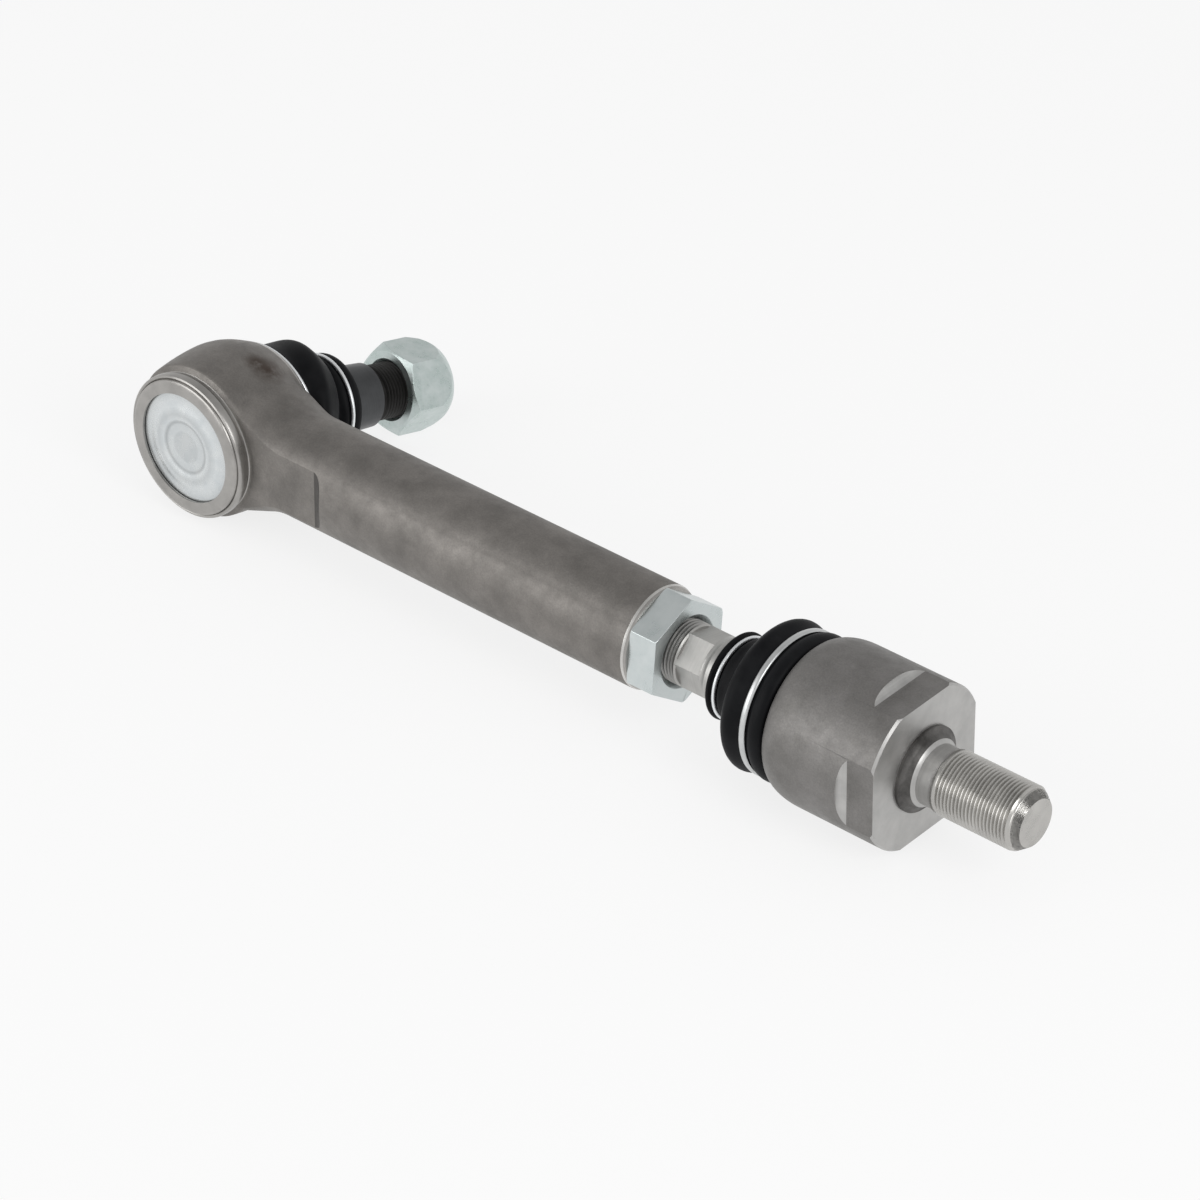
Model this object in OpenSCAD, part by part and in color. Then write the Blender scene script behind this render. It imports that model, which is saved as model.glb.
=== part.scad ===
// Adjustable tie rod: a forged rod with an outer ball joint across its end, and an
// axial ball joint on a threaded shank, held by a lock nut. Millimetres.
// The origin is the centre of the outer ball. +X runs along the rod to the axial joint,
// +Y runs along the head from its closed side to its stud side, and +Z is up.

/* [Outer ball joint] */
// Diameter of the outer ball
ball_d = 34; // [32:0.5:36]
// Radial gap between a ball and its seats
ball_gap = 0.05; // [0.02:0.01:0.09]
// Wall of the plastic seats at the outer ball's equator
seat_wall = 4.15; // [3.5:0.05:5]
// Diameter of the ball stud's neck
stud_neck_d = 18; // [16:0.5:19]
// Largest lean of the ball stud from the head's axis, in degrees
stud_lean_max = 22.6; // [16:0.2:24]
// Floor of the pressure pad under the ball
pad_floor = 0.95; // [0.6:0.05:1.5]
// Height left for the disc spring
disc_space = 1.6; // [1.4:0.1:2.4]
// Thickness of the disc spring's steel
disc_t = 0.9; // [0.7:0.05:1.1]

/* [Head] */
// Wall of the head at its crown
head_wall = 10.7; // [9:0.1:13]
// Distance from the ball's centre plane to the widest part of the head
crown_y = 2; // [0:0.5:4]
// How much the head's side falls from its crown to its shoulder on the cap's side
front_drop = 1.4; // [0.4:0.1:2]
// How much the head's side falls from its crown to its bevel on the stud's side
back_drop = 3.7; // [2:0.1:5]
// Length of the turned bevel on the stud's side
back_bevel_l = 4; // [2:0.1:5]
// How much that bevel falls
back_bevel_drop = 2; // [1:0.1:2.4]
// Distance from the ball's centre to the head's stud-side face
head_back_y = 20; // [18:0.1:22]
// Wall between the cavity and the turned rim on the cap's side
rim_wall = 6.9; // [6:0.1:8]
// Distance from the lip's face to the far side of the groove behind the turned rim
rim_l = 6.6; // [5:0.1:7]
// Thickness of the rolled lip that holds the cap
lip_t = 1; // [0.8:0.1:2]
// How far the rolled lip reaches over the cap
lip_reach = 1.2; // [0.6:0.1:1.6]
// Thickness of the cap at its middle
cap_t = 2.6; // [2.4:0.1:3.6]
// Width of the ledge that the cap's rim stands on
cap_ledge = 1.9; // [1.5:0.1:2.6]
// Section diameter of the cap's sealing ring
cap_seal_d = 1.76; // [1.5:0.02:2]
// How far the boot's spigot stands outside the cavity's radius
spigot_wall = 0.6; // [0.4:0.1:1.4]
// Length of the boot's spigot behind the head
spigot_l = 3.7; // [3.5:0.1:4.4]

/* [Rod] */
// Diameter of the rod's round barrel
barrel_d = 40; // [36:0.5:44]
// Distance from the outer ball's centre to the barrel's open end
barrel_end_x = 215.8; // [180:0.1:260]
// Chamfer length at the barrel's open end
barrel_chamfer = 1.8; // [1:0.1:3]
// Thickness of the flat-sided web between head and barrel
web_t = 32.4; // [29:0.1:36]
// Distance from the outer ball's centre to the end of the web's flats
web_end_x = 60.5; // [50:0.5:75]
// Radius of the flats' run-out into the barrel
web_runout_r = 8; // [5:0.5:12]
// Radius of the sweep from the barrel up to the web's flanks
sweep_r = 33; // [28:1:50]
// Distance from the outer ball's centre to the start of that sweep
sweep_x = 44; // [42:0.5:50]
// Distance from the outer ball's centre to where the flanks run on straight to the head
flank_x = 32.5; // [30:0.5:36]
// Depth of the threaded hole in the barrel
rod_hole_depth = 95; // [80:1:120]

/* [Shank and lock nut] */
// Outside diameter of the shank's thread
shank_d = 24; // [22:1:26]
// Radial gap between a thread and the threaded hole round it
thread_gap = 0.05; // [0.02:0.01:0.09]
// Length of the shank inside the barrel
shank_in = 61; // [50:1:75]
// Size of the lock nut across its flats
lock_nut_af = 36; // [34:1:41]
// Height of the lock nut
lock_nut_h = 12; // [10:0.5:16]
// Thread that shows between the lock nut and the wrench flats
thread_show = 4.2; // [3.4:0.1:25]
// Size across the shank's wrench hexagon
shank_af = 20.7; // [18:0.1:20.7]
// Length of the wrench hexagon
shank_hex_l = 11; // [7:0.5:15]
// Turn of the wrench hexagon round the rod, in degrees
shank_hex_turn = 19; // [0:1:59]
// Length of the flare from the hexagon to the shank's collar
shank_flare_l = 3; // [2:0.5:6]
// Diameter of the shank's collar in front of the boot
shank_collar_d = 26; // [24:0.5:28]
// Length of that collar
shank_collar_l = 2.8; // [2:0.1:6]
// Diameter of the boot's seat on the shank
shank_seat_d = 19; // [18:0.5:21]
// Diameter of the neck at the axial ball
axial_neck_d = 18; // [16:0.5:18.5]

/* [Axial ball joint] */
// Diameter of the axial ball
axial_ball_d = 34; // [32:0.5:36]
// Distance from the axial boot's small end to the axial ball's centre
axial_boot_l = 46.9; // [44:0.1:54]
// Wall of the plastic seats at the axial ball's equator
axial_seat_wall = 4.35; // [3.5:0.05:5]
// Wall of the housing outside its seats
housing_wall = 9.3; // [8:0.1:11]
// Largest lean of the shank from the housing's axis, in degrees
axial_lean_max = 19.8; // [15:0.2:21]
// Floor of the rear seat behind the ball
axial_seat_floor = 2.15; // [1.5:0.05:3]
// Distance from the ball's centre to the housing's shoulder face
housing_face = 37; // [35:0.5:45]
// Distance from the ball's centre to the front of the housing's body
housing_front = 12; // [11:0.5:14]
// Length of the boot's spigot in front of the housing's body
housing_spigot_l = 12.5; // [12:0.5:15]
// Wall between the housing's hole and the boot's spigot surface
housing_spigot_wall = 2.5; // [2:0.1:3.5]
// Thickness of the closing ring
closing_ring_t = 5.2; // [4:0.1:5.4]
// Size across the housing's wrench flats
housing_af = 55; // [52:0.5:57]
// Length of the housing's wrench flats
housing_flat_l = 13; // [10:0.5:16]
// Turn of the housing's flats round the rod, in degrees
housing_turn = 3; // [0:1:45]

/* [Male end of the housing] */
// Outside diameter of the male thread
male_d = 24; // [22:1:26]
// Length of the male thread
male_l = 31; // [20:1:45]
// Height of the foot between the shoulder face and the thread relief
foot_h = 4; // [3:0.5:6]
// Diameter of the foot where it meets the shoulder face
foot_d = 32; // [29:0.5:36]
// Length of the thread relief
relief_l = 6; // [4:0.5:9]
// Diameter of the thread relief
relief_d = 22.4; // [20:0.1:23]
// Length of the chamfer at the male end
male_chamfer = 4.1; // [2:0.1:6]

/* [Ball stud end] */
// Droop of the ball stud as the part lies on a table, in degrees
stud_droop = 9.4; // [0:0.2:14]
// Swing of the ball stud towards the rod, in degrees
stud_swing = 6.8; // [-14:0.2:14]
// Largest diameter of the stud's taper
taper_d = 26.8; // [24:0.2:28]
// Distance from the ball's centre to the start of the taper
taper_s = 49; // [47:0.5:54]
// Length of the taper
taper_l = 17; // [14:0.5:24]
// Outside diameter of the stud's thread
stud_d = 22; // [20:1:23]
// Distance from the end of the taper to the nut's near face
nut_gap = 11.7; // [10:0.1:16]
// Size of the stud's nut across its flats
stud_nut_af = 32; // [30:1:36]
// Height of the nut
stud_nut_h = 21.6; // [19:0.1:25]
// Length over which the nut's corners round off at its far end
stud_nut_dome_l = 9; // [6:0.1:10]
// Diameter of the nut's far face
stud_nut_end_d = 29; // [28:0.2:30.4]
// Height of the plastic ring in the nut
stud_nut_insert_h = 5.6; // [4.5:0.1:6.5]
// Turn of the nut round the stud, in degrees
stud_nut_turn = 6; // [0:1:60]

/* [Boots] */
// Gap between a rubber boot and what it sits on
boot_gap = 0.3; // [0.25:0.05:0.5]
// Thickness of the boots' rubber
boot_t = 2.4; // [2:0.1:3]
// Rise of the outer boot's bulge over the head's spigot
outer_boot_rise = 4.7; // [4:0.1:5.6]
// Distance from the ball's centre to the middle of the outer boot's bulge
outer_bulge_s = 30; // [28.5:0.5:31.5]
// How many times the stud's lean the bulge leans, because the rubber folds on its inner side
outer_bulge_lean = 2; // [1:0.1:2.2]
// Diameter of the outer boot's small end
outer_boot_small_d = 39; // [37:0.5:42]
// Length of the outer boot's small end
outer_boot_collar_l = 11; // [9:0.5:13]
// Rise of the axial boot's large end over the housing's spigot
axial_boot_rise = 4.55; // [4.2:0.05:6]
// Diameter of the axial boot's small end
axial_boot_small_d = 33; // [31:0.5:35]
// Wire diameter of the boots' small rings
wire_d = 1.5; // [1.2:0.1:1.8]
// Width of the axial boot's large ring
band_w = 2.9; // [2.4:0.1:4]
// Thickness of the axial boot's large ring
band_t = 0.9; // [0.6:0.1:1.2]

/* [Hidden] */
$fn = 96;
steps = 10;
corner_share = 2 / sqrt(3);

ball_r = ball_d / 2;
neck_r = stud_neck_d / 2;
seat_r = ball_r + ball_gap + seat_wall;
cavity_r = seat_r + 0.1;
lip_angle = asin(neck_r / ball_r) + stud_lean_max + 1.4;
shell_top = ball_r * cos(lip_angle);
pad_y = -(ball_r + ball_gap + pad_floor);
cap_in_y = pad_y - disc_space;
cap_y = cap_in_y - cap_t;
cap_r = cavity_r + cap_ledge;
cap_rim_y = cap_y + 2;
ledge_y = cap_rim_y + cap_seal_d + 0.04;
lip_y = cap_y - lip_t;
rim_r = cavity_r + rim_wall;
crown_r = cavity_r + head_wall;
shoulder_y = lip_y + 8;
bevel_y = head_back_y - back_bevel_l;
spigot_r = cavity_r + spigot_wall;
spigot_y = head_back_y + spigot_l;

barrel_r = barrel_d / 2;
web_half = web_t / 2;
shank_r = shank_d / 2;
shank_collar_r = shank_collar_d / 2;
hole_r = shank_r + thread_gap;
nut_far_x = barrel_end_x + lock_nut_h;
hex_x = nut_far_x + thread_show;
flare_x = hex_x + shank_hex_l;
collar_x = flare_x + shank_flare_l;
collar_end_x = collar_x + shank_collar_l;
boot_x = collar_end_x + boot_gap;
axial_x = boot_x + axial_boot_l;

axial_r = axial_ball_d / 2;
axial_neck_r = axial_neck_d / 2;
shank_seat_r = shank_seat_d / 2;
axial_seat_r = axial_r + ball_gap + axial_seat_wall;
axial_hole_r = axial_seat_r + 0.1;
housing_r = axial_hole_r + housing_wall;
housing_x = axial_x - housing_front;
housing_spigot_r = axial_hole_r + housing_spigot_wall;
spigot_front_x = housing_x - housing_spigot_l;
closing_x = housing_x - closing_ring_t;
rear_seat_x = axial_x + axial_r + ball_gap + axial_seat_floor;
hole_end_x = rear_seat_x + disc_space + 0.2;
axial_lip_angle = asin(axial_neck_r / axial_r) + axial_lean_max + 1.4;
axial_lip_x = axial_x - axial_r * cos(axial_lip_angle);
face_x = axial_x + housing_face;
male_r = male_d / 2;
male_x = face_x + foot_h + relief_l + 2;
male_end_x = male_x + male_l;

taper_r = taper_d / 2;
taper_end_s = taper_s + taper_l;
taper_end_r = taper_r - taper_l / 20;
stud_r = stud_d / 2;
nut_s = taper_end_s + nut_gap;
nut_end_s = nut_s + stud_nut_h;
stud_end_s = nut_end_s - 1.2;
insert_s = nut_end_s - 1 - stud_nut_insert_h;
collar_s = taper_s + 1.5 - outer_boot_collar_l;
wire_r = wire_d / 2;
outer_wire_s = collar_s + outer_boot_collar_l * 0.48;
outer_groove_r = outer_boot_small_d / 2 - 1.2;
outer_bead_r = spigot_r + 2.1;
outer_base_y = head_back_y + boot_gap;
// The groove round the boot's spigot: its near edge from the head's face, its width and its depth.
bead_groove = [0.9, 1.6, 0.7];
axial_wire_x = boot_x + 3.4;
axial_groove_r = axial_boot_small_d / 2 - 2.4;
band_x = housing_x - 8.8;
band_in_r = housing_spigot_r + axial_boot_rise - 1.9;

// Turns a shape drawn along Z onto the rod's axis.
module along_rod() {
    rotate([0, 90, 0]) children();
}

// Turns a shape drawn along Z onto the head's axis.
module along_head() {
    rotate([-90, 0, 0]) children();
}

// Turns a shape drawn along Z onto the ball stud's axis as it lies at rest.
module along_stud() {
    rotate([-stud_droop, 0, 0]) rotate([0, 0, -stud_swing]) along_head() children();
}

// A part-circle of points about c, from angle a to angle b.
function arc(c, r, a, b) = [
    for (i = [0:steps]) [c[0] + r * cos(a + (b - a) * i / steps), c[1] + r * sin(a + (b - a) * i / steps)]
];

// Radius of the hole that clears a neck leaning all the way round, at height s above the ball.
function mouth(s, neck, lean) = s * tan(lean) + neck / cos(lean) + 0.5;

// A six-sided nut blank, chamfered at 30 degrees at its near end down to the radius face_r. The
// list far shapes its far end: each entry is a radius and its depth below the far face.
module hex_blank(af, h, face_r, far) {
    corner_r = af / 2 * corner_share;
    intersection() {
        cylinder(r = corner_r, h = h, $fn = 6);
        rotate_extrude() polygon(concat(
            [[0, 0], [face_r, 0], [corner_r + 0.1, (corner_r + 0.1 - face_r) * tan(30)]],
            [for (point = far) [point[0], h - point[1]]],
            [[0, h]]
        ));
    }
}

// A disc spring that leans on its outer edge below and on its inner edge above.
module cone_disc(inner_r, outer_r, space, t) {
    rotate_extrude() polygon([
        [inner_r, space - t - 0.05], [outer_r, 0.05], [outer_r, t + 0.05], [inner_r, space - 0.05]
    ]);
}

// A ring of round wire.
module wire_ring(r) {
    rotate_extrude() translate([r, 0]) circle(r = wire_r, $fn = 32);
}

// Radius of the head's side between its two turned ends: it falls away from the crown both ways.
function side_r(y) = crown_r - (
    y < crown_y
    ? front_drop * pow((crown_y - y) / (crown_y - shoulder_y), 2)
    : back_drop * pow((y - crown_y) / (bevel_y - crown_y), 2)
);

// The head's outline in its own half plane: the rolled lip, the turned rim, the crowned
// side, the bevelled back and the boot's spigot, then the cavity from the mouth to the cap.
module head_section() {
    rim_y = lip_y + 1.2;
    groove_end_y = lip_y + rim_l;
    spigot_lead = 0.6;
    groove_y = head_back_y + bead_groove[0];
    polygon(concat(
        [
            [cap_r - lip_reach, lip_y], [rim_r - 2.8, lip_y], [rim_r - 1.9, lip_y + 0.1],
            [rim_r - 1.2, lip_y + 0.5], [rim_r - 1, rim_y - 0.2], [rim_r - 0.9, rim_y + 0.3],
            [rim_r - 0.8, rim_y], [rim_r - 0.3, rim_y - 0.25], [rim_r + 0.3, rim_y + 0.1],
            [rim_r + 0.6, rim_y + 0.8], [rim_r + 0.6, groove_end_y - 2.4],
            [rim_r + 0.3, groove_end_y - 1.8], [rim_r - 0.3, groove_end_y - 1.4],
            [rim_r - 0.3, groove_end_y - 0.3], [rim_r, groove_end_y],
            [side_r(shoulder_y) - 0.4, shoulder_y - 0.5]
        ],
        [
            for (i = [0:2 * steps]) let (y = shoulder_y + (bevel_y - shoulder_y) * i / steps / 2)
                [side_r(y), y]
        ],
        [
            [crown_r - back_drop - back_bevel_drop, head_back_y], [spigot_r, head_back_y],
            [spigot_r, groove_y], [spigot_r - bead_groove[2], groove_y + 0.2],
            [spigot_r - bead_groove[2], groove_y + bead_groove[1] - 0.2],
            [spigot_r, groove_y + bead_groove[1]],
            [spigot_r, spigot_y - spigot_lead], [spigot_r - spigot_lead, spigot_y],
            [mouth(spigot_y, neck_r, stud_lean_max), spigot_y],
            [mouth(shell_top, neck_r, stud_lean_max), shell_top],
            [cavity_r, shell_top], [cavity_r, ledge_y], [cap_r + 0.1, ledge_y],
            [cap_r + 0.1, cap_y], [cap_r - lip_reach, cap_y]
        ]
    ));
}

// Radius of the sweep at a distance x from the outer ball's centre.
function sweep_at(x) = barrel_r + sweep_r - sqrt(pow(sweep_r, 2) - pow(sweep_x - x, 2));

// The barrel's outline: straight flanks that leave the head's crown, the sweep, and the barrel.
module barrel_section() {
    flank_r = sweep_at(flank_x);
    meet_r = crown_r - 0.6;
    meet = atan2(flank_r, flank_x) + acos(meet_r / norm([flank_x, flank_r]));
    polygon(concat(
        [[0, meet_r * cos(meet)], [meet_r * sin(meet), meet_r * cos(meet)]],
        [for (i = [0:steps]) let (x = flank_x + (sweep_x - flank_x) * i / steps) [sweep_at(x), x]],
        [
            [barrel_r, barrel_end_x - barrel_chamfer],
            [barrel_r - barrel_chamfer * 0.45, barrel_end_x], [0, barrel_end_x]
        ]
    ));
}

// What is taken off one side of the barrel to leave the web's flat and its run-out.
module web_cut() {
    deep = barrel_d;
    translate([0, web_half, -deep]) cube([web_end_x, deep, 2 * deep]);
    translate([web_end_x, web_half + web_runout_r, -deep]) cylinder(r = web_runout_r, h = 2 * deep);
}

module rod_body() {
    hole_x = barrel_end_x - rod_hole_depth;
    color("dimgray") {
        difference() {
            along_rod() rotate_extrude() barrel_section();
            web_cut();
            mirror([0, 1, 0]) web_cut();
            along_head() translate([0, 0, -barrel_d]) cylinder(r = cavity_r + 2, h = 2 * barrel_d);
            translate([hole_x, 0, 0]) along_rod() cylinder(r = hole_r, h = rod_hole_depth + 1);
            translate([hole_x + 0.01, 0, 0]) rotate([0, -90, 0])
                cylinder(r1 = hole_r, r2 = 0.5, h = hole_r * 0.6);
            translate([barrel_end_x - 1.2, 0, 0]) along_rod()
                cylinder(r1 = hole_r, r2 = hole_r + 1.3, h = 1.3);
        }
        along_head() rotate_extrude() head_section();
    }
}

module end_cap() {
    boss_r = cap_r * 0.37;
    color("lightsteelblue") along_head() rotate_extrude() polygon([
        [0, cap_y - 0.2], [boss_r - 0.9, cap_y - 0.2], [boss_r, cap_y + 0.1],
        [boss_r + 0.9, cap_y + 0.9], [boss_r + 2.2, cap_y + 1], [cap_r * 0.68, cap_y + 0.7],
        [cap_r * 0.8, cap_y + 0.15], [cap_r * 0.87, cap_y], [cap_r, cap_y], [cap_r, cap_rim_y],
        [cavity_r - 0.2, cap_rim_y], [cavity_r - 1, cap_in_y], [0, cap_in_y]
    ]);
}

module cap_seal() {
    color("black") along_head() translate([0, 0, (cap_rim_y + ledge_y) / 2]) rotate_extrude()
        translate([(cavity_r + cap_r + 0.1) / 2, 0]) circle(d = cap_seal_d, $fn = 32);
}

module disc_spring() {
    color("slategray") along_head() translate([0, 0, pad_y]) mirror([0, 0, 1])
        cone_disc(ball_r * 0.5, seat_r - 3, disc_space, disc_t);
}

module pressure_pad() {
    color("ivory") difference() {
        along_head() translate([0, 0, pad_y]) cylinder(r = seat_r, h = -pad_y - 0.15);
        sphere(r = ball_r + ball_gap);
        along_head() translate([0, 0, pad_y - 1]) cylinder(r = 4, h = 3);
    }
}

module bearing_shell() {
    color("ivory") difference() {
        along_head() translate([0, 0, 0.15]) cylinder(r = seat_r, h = shell_top - 0.15);
        sphere(r = ball_r + ball_gap);
    }
}

module ball_stud() {
    seat_s = collar_s - 1;
    color("dimgray") {
        sphere(r = ball_r);
        along_stud() rotate_extrude() polygon([
            [0, 4], [neck_r, 4], [neck_r, spigot_y + 5], [taper_r - 1, seat_s - 2.5],
            [taper_r, seat_s], [taper_r, taper_s], [taper_end_r, taper_end_s],
            [stud_r - 0.8, taper_end_s + 0.2], [stud_r - 0.8, taper_end_s + 1.8],
            [stud_r, taper_end_s + 2.6], [stud_r, stud_end_s - 1.5],
            [stud_r - 1.5, stud_end_s], [0, stud_end_s]
        ]);
    }
}

// The nut holds a plastic ring between its last thread and its turned-in far edge.
module stud_nut() {
    bore_r = stud_r + thread_gap;
    corner_r = stud_nut_af / 2 * corner_share;
    end_r = stud_nut_end_d / 2;
    color("gainsboro") along_stud() rotate([0, 0, stud_nut_turn]) difference() {
        translate([0, 0, nut_s]) hex_blank(stud_nut_af, stud_nut_h, stud_nut_af * 0.475, [
            [corner_r + 0.1, stud_nut_dome_l], [corner_r - 0.4, stud_nut_dome_l * 0.8],
            [end_r + 2.6, stud_nut_dome_l * 0.45], [end_r + 1, stud_nut_dome_l * 0.14], [end_r, 0]
        ]);
        translate([0, 0, nut_s - 1]) cylinder(r = bore_r, h = stud_nut_h + 2);
        translate([0, 0, nut_s - 0.01]) cylinder(r1 = bore_r + 1.3, r2 = bore_r, h = 1.3);
        translate([0, 0, insert_s]) cylinder(r = stud_r + 2.2, h = stud_nut_insert_h);
    }
}

module stud_nut_insert() {
    color("white") along_stud() translate([0, 0, insert_s + 0.05]) difference() {
        cylinder(r = stud_r + 2.15, h = stud_nut_insert_h - 0.1);
        translate([0, 0, -1]) cylinder(r = stud_r + thread_gap, h = stud_nut_insert_h + 2);
    }
}

// Turns a shape drawn along Z onto the middle of the outer boot's bulge.
module along_bulge() {
    extra = outer_bulge_lean - 1;
    along_stud() translate([0, 0, outer_bulge_s])
        rotate([stud_droop * extra, 0, 0]) rotate([0, stud_swing * extra, 0]) children();
}

// The bulge's outline round its own middle, taken in by the thickness inset.
module bulge_section(inset) {
    bulge_r = spigot_r + outer_boot_rise - inset;
    polygon([
        [0, -14], [bulge_r - 3.6, -14], [bulge_r - 1.8, -10.5], [bulge_r - 0.3, -7],
        [bulge_r + 0.4, -4.4], [bulge_r + 0.5, -2.6], [bulge_r + 0.2, -0.7],
        [bulge_r - 0.6, 1.2], [bulge_r - 1.7, 2.9],
        [bulge_r - 3, 4.9], [bulge_r - 4.3, 6.9 - inset / 4], [bulge_r - 5.6, 8.4 - inset / 2],
        [bulge_r - 8, 9.4 - inset * 0.8], [bulge_r - 10.1, 9.8 - inset], [0, 9.8 - inset]
    ]);
}

// Everything beyond a height y behind the head's stud side.
module behind(y) {
    translate([-barrel_d, y, -barrel_d]) cube([2 * barrel_d, 2 * barrel_d, 2 * barrel_d]);
}

// The outer boot: a bead on the head's spigot, a bulge, and a collar on the stud.
module outer_boot() {
    small_r = outer_boot_small_d / 2;
    fit_r = spigot_r + boot_gap;
    nip_r = spigot_r - bead_groove[2] + boot_gap;
    nip_y = head_back_y + bead_groove[0];
    color("black") difference() {
        union() {
            along_head() rotate_extrude() polygon([
                [0, outer_base_y], [outer_bead_r, outer_base_y], [outer_bead_r + 0.4, outer_base_y + 1.8],
                [outer_bead_r - 0.2, spigot_y + 0.3], [outer_bead_r - 1.2, spigot_y + 1.8],
                [outer_bead_r - 2.2, spigot_y + 3.6], [0, spigot_y + 3.6]
            ]);
            intersection() {
                along_bulge() rotate_extrude() bulge_section(0);
                behind(outer_base_y + 0.6);
            }
            along_stud() translate([0, 0, collar_s]) rotate_extrude() polygon([
                [0, -6], [small_r - 3.4, -6], [small_r - 1.6, 0], [small_r - 0.4, 2.2],
                [small_r - 0.2, outer_boot_collar_l * 0.3], [outer_groove_r, outer_boot_collar_l * 0.38],
                [outer_groove_r, outer_boot_collar_l * 0.58], [small_r - 0.1, outer_boot_collar_l * 0.66],
                [small_r, outer_boot_collar_l * 0.82], [small_r - 1.6, outer_boot_collar_l],
                [0, outer_boot_collar_l]
            ]);
        }
        along_head() rotate_extrude() polygon([
            [0, outer_base_y - 1], [fit_r, outer_base_y - 1], [fit_r, nip_y + 0.1], [nip_r, nip_y + 0.5],
            [nip_r, nip_y + bead_groove[1] - 0.5], [fit_r, nip_y + bead_groove[1] - 0.1],
            [fit_r, spigot_y + boot_gap], [0, spigot_y + boot_gap]
        ]);
        intersection() {
            along_bulge() rotate_extrude() bulge_section(boot_t);
            behind(spigot_y + boot_gap - 0.5);
        }
        along_stud() translate([0, 0, spigot_y]) cylinder(r = taper_r + boot_gap, h = taper_s);
        along_head() translate([0, 0, outer_base_y - 0.01]) rotate_extrude() polygon([
            [outer_bead_r - 0.7, -1], [outer_bead_r + 7, -1],
            [outer_bead_r + 7, 1.7], [outer_bead_r - 0.7, 1.6]
        ]);
    }
}

module outer_boot_large_ring() {
    color("silver") along_head() translate([0, 0, outer_base_y + wire_r])
        wire_ring(outer_bead_r + wire_r - 0.5);
}

module outer_boot_small_ring() {
    color("white") along_stud() translate([0, 0, outer_wire_s]) wire_ring(outer_groove_r + wire_r + 0.3);
}

module lock_nut() {
    corner_r = lock_nut_af / 2 * corner_share;
    face_r = corner_r - 0.8;
    color("lightsteelblue") translate([barrel_end_x, 0, 0]) along_rod() difference() {
        hex_blank(lock_nut_af, lock_nut_h, face_r, [[corner_r + 0.1, 0.5], [face_r, 0]]);
        translate([0, 0, -1]) cylinder(r = hole_r, h = lock_nut_h + 2);
        translate([0, 0, -0.01]) cylinder(r1 = hole_r + 2, r2 = hole_r, h = 2);
        translate([0, 0, lock_nut_h - 1.99]) cylinder(r1 = hole_r, r2 = hole_r + 2, h = 2);
    }
}

// The shank: thread, wrench hexagon, flared collar, the boot's seat, the neck and the ball.
module axial_stud() {
    start_x = barrel_end_x - shank_in;
    flare = shank_collar_r - shank_r;
    color("silver") {
        along_rod() rotate_extrude() polygon([
            [0, start_x], [shank_r - 2, start_x], [shank_r, start_x + 2],
            [shank_r, hex_x - 0.6], [shank_r - 0.6, hex_x], [0, hex_x]
        ]);
        translate([hex_x - 1, 0, 0]) along_rod() rotate([0, 0, shank_hex_turn])
            cylinder(r = shank_af / 2 * corner_share, h = shank_hex_l + 2, $fn = 6);
        along_rod() rotate_extrude() polygon(concat(
            [[0, flare_x]],
            [
                for (i = [0:steps]) let (t = i / steps)
                    [shank_r + flare * (1 - cos(90 * t)), flare_x + shank_flare_l * t]
            ],
            [
                [shank_collar_r, collar_end_x - 0.5], [shank_collar_r - 0.5, collar_end_x],
                [shank_seat_r, collar_end_x], [shank_seat_r, boot_x + 8],
                [axial_neck_r, boot_x + 12], [axial_neck_r, axial_x - 4], [0, axial_x - 4]
            ]
        ));
        translate([axial_x, 0, 0]) sphere(r = axial_r);
    }
}

// The axial boot: a small end on the shank, a cone, and a large end in a groove on the housing.
module axial_boot() {
    small_r = axial_boot_small_d / 2;
    big_r = housing_spigot_r + axial_boot_rise;
    large_x = band_x - band_w / 2;
    seat_r1 = housing_spigot_r + boot_gap;
    color("black") along_rod() rotate_extrude() polygon([
        [shank_seat_r + boot_gap, boot_x], [small_r - 1.2, boot_x], [small_r, boot_x + 1],
        [small_r, boot_x + 1.9], [axial_groove_r, boot_x + 2.5], [axial_groove_r, boot_x + 5],
        [small_r - 0.4, boot_x + 5.8], [small_r - 0.8, boot_x + 7.6], [small_r + 1.5, boot_x + 12],
        [big_r - 5, large_x - 9.1], [big_r - 1.4, large_x - 7.5], [big_r, large_x - 5.6],
        [big_r - 0.2, large_x - 3.4], [big_r - 1.4, large_x - 1.2], [band_in_r - 0.3, large_x - 0.3],
        [band_in_r - 0.3, large_x + band_w + 0.3], [big_r - 0.8, large_x + band_w + 1.2],
        [big_r - 0.6, large_x + band_w + 2.6], [big_r - 1.4, housing_x - 1.4],
        [big_r - 2.6, housing_x - boot_gap], [seat_r1, housing_x - boot_gap],
        [seat_r1, spigot_front_x + 6.7], [seat_r1 - 1, spigot_front_x + 6.2],
        [seat_r1 - 1, spigot_front_x + 3.8], [seat_r1, spigot_front_x + 3.3],
        [seat_r1, spigot_front_x - boot_gap], [seat_r1 - 3, spigot_front_x - 1.6],
        [small_r - boot_t + 0.5, boot_x + 11.5], [shank_seat_r + boot_gap, boot_x + 8.5]
    ]);
}

module axial_boot_small_ring() {
    color("white") translate([axial_wire_x, 0, 0]) along_rod() wire_ring(axial_groove_r + wire_r + 0.3);
}

module axial_boot_large_ring() {
    color("silver") translate([band_x - band_w / 2, 0, 0]) along_rod() difference() {
        cylinder(r = band_in_r + band_t, h = band_w);
        translate([0, 0, -1]) cylinder(r = band_in_r, h = band_w + 2);
    }
}

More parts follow.
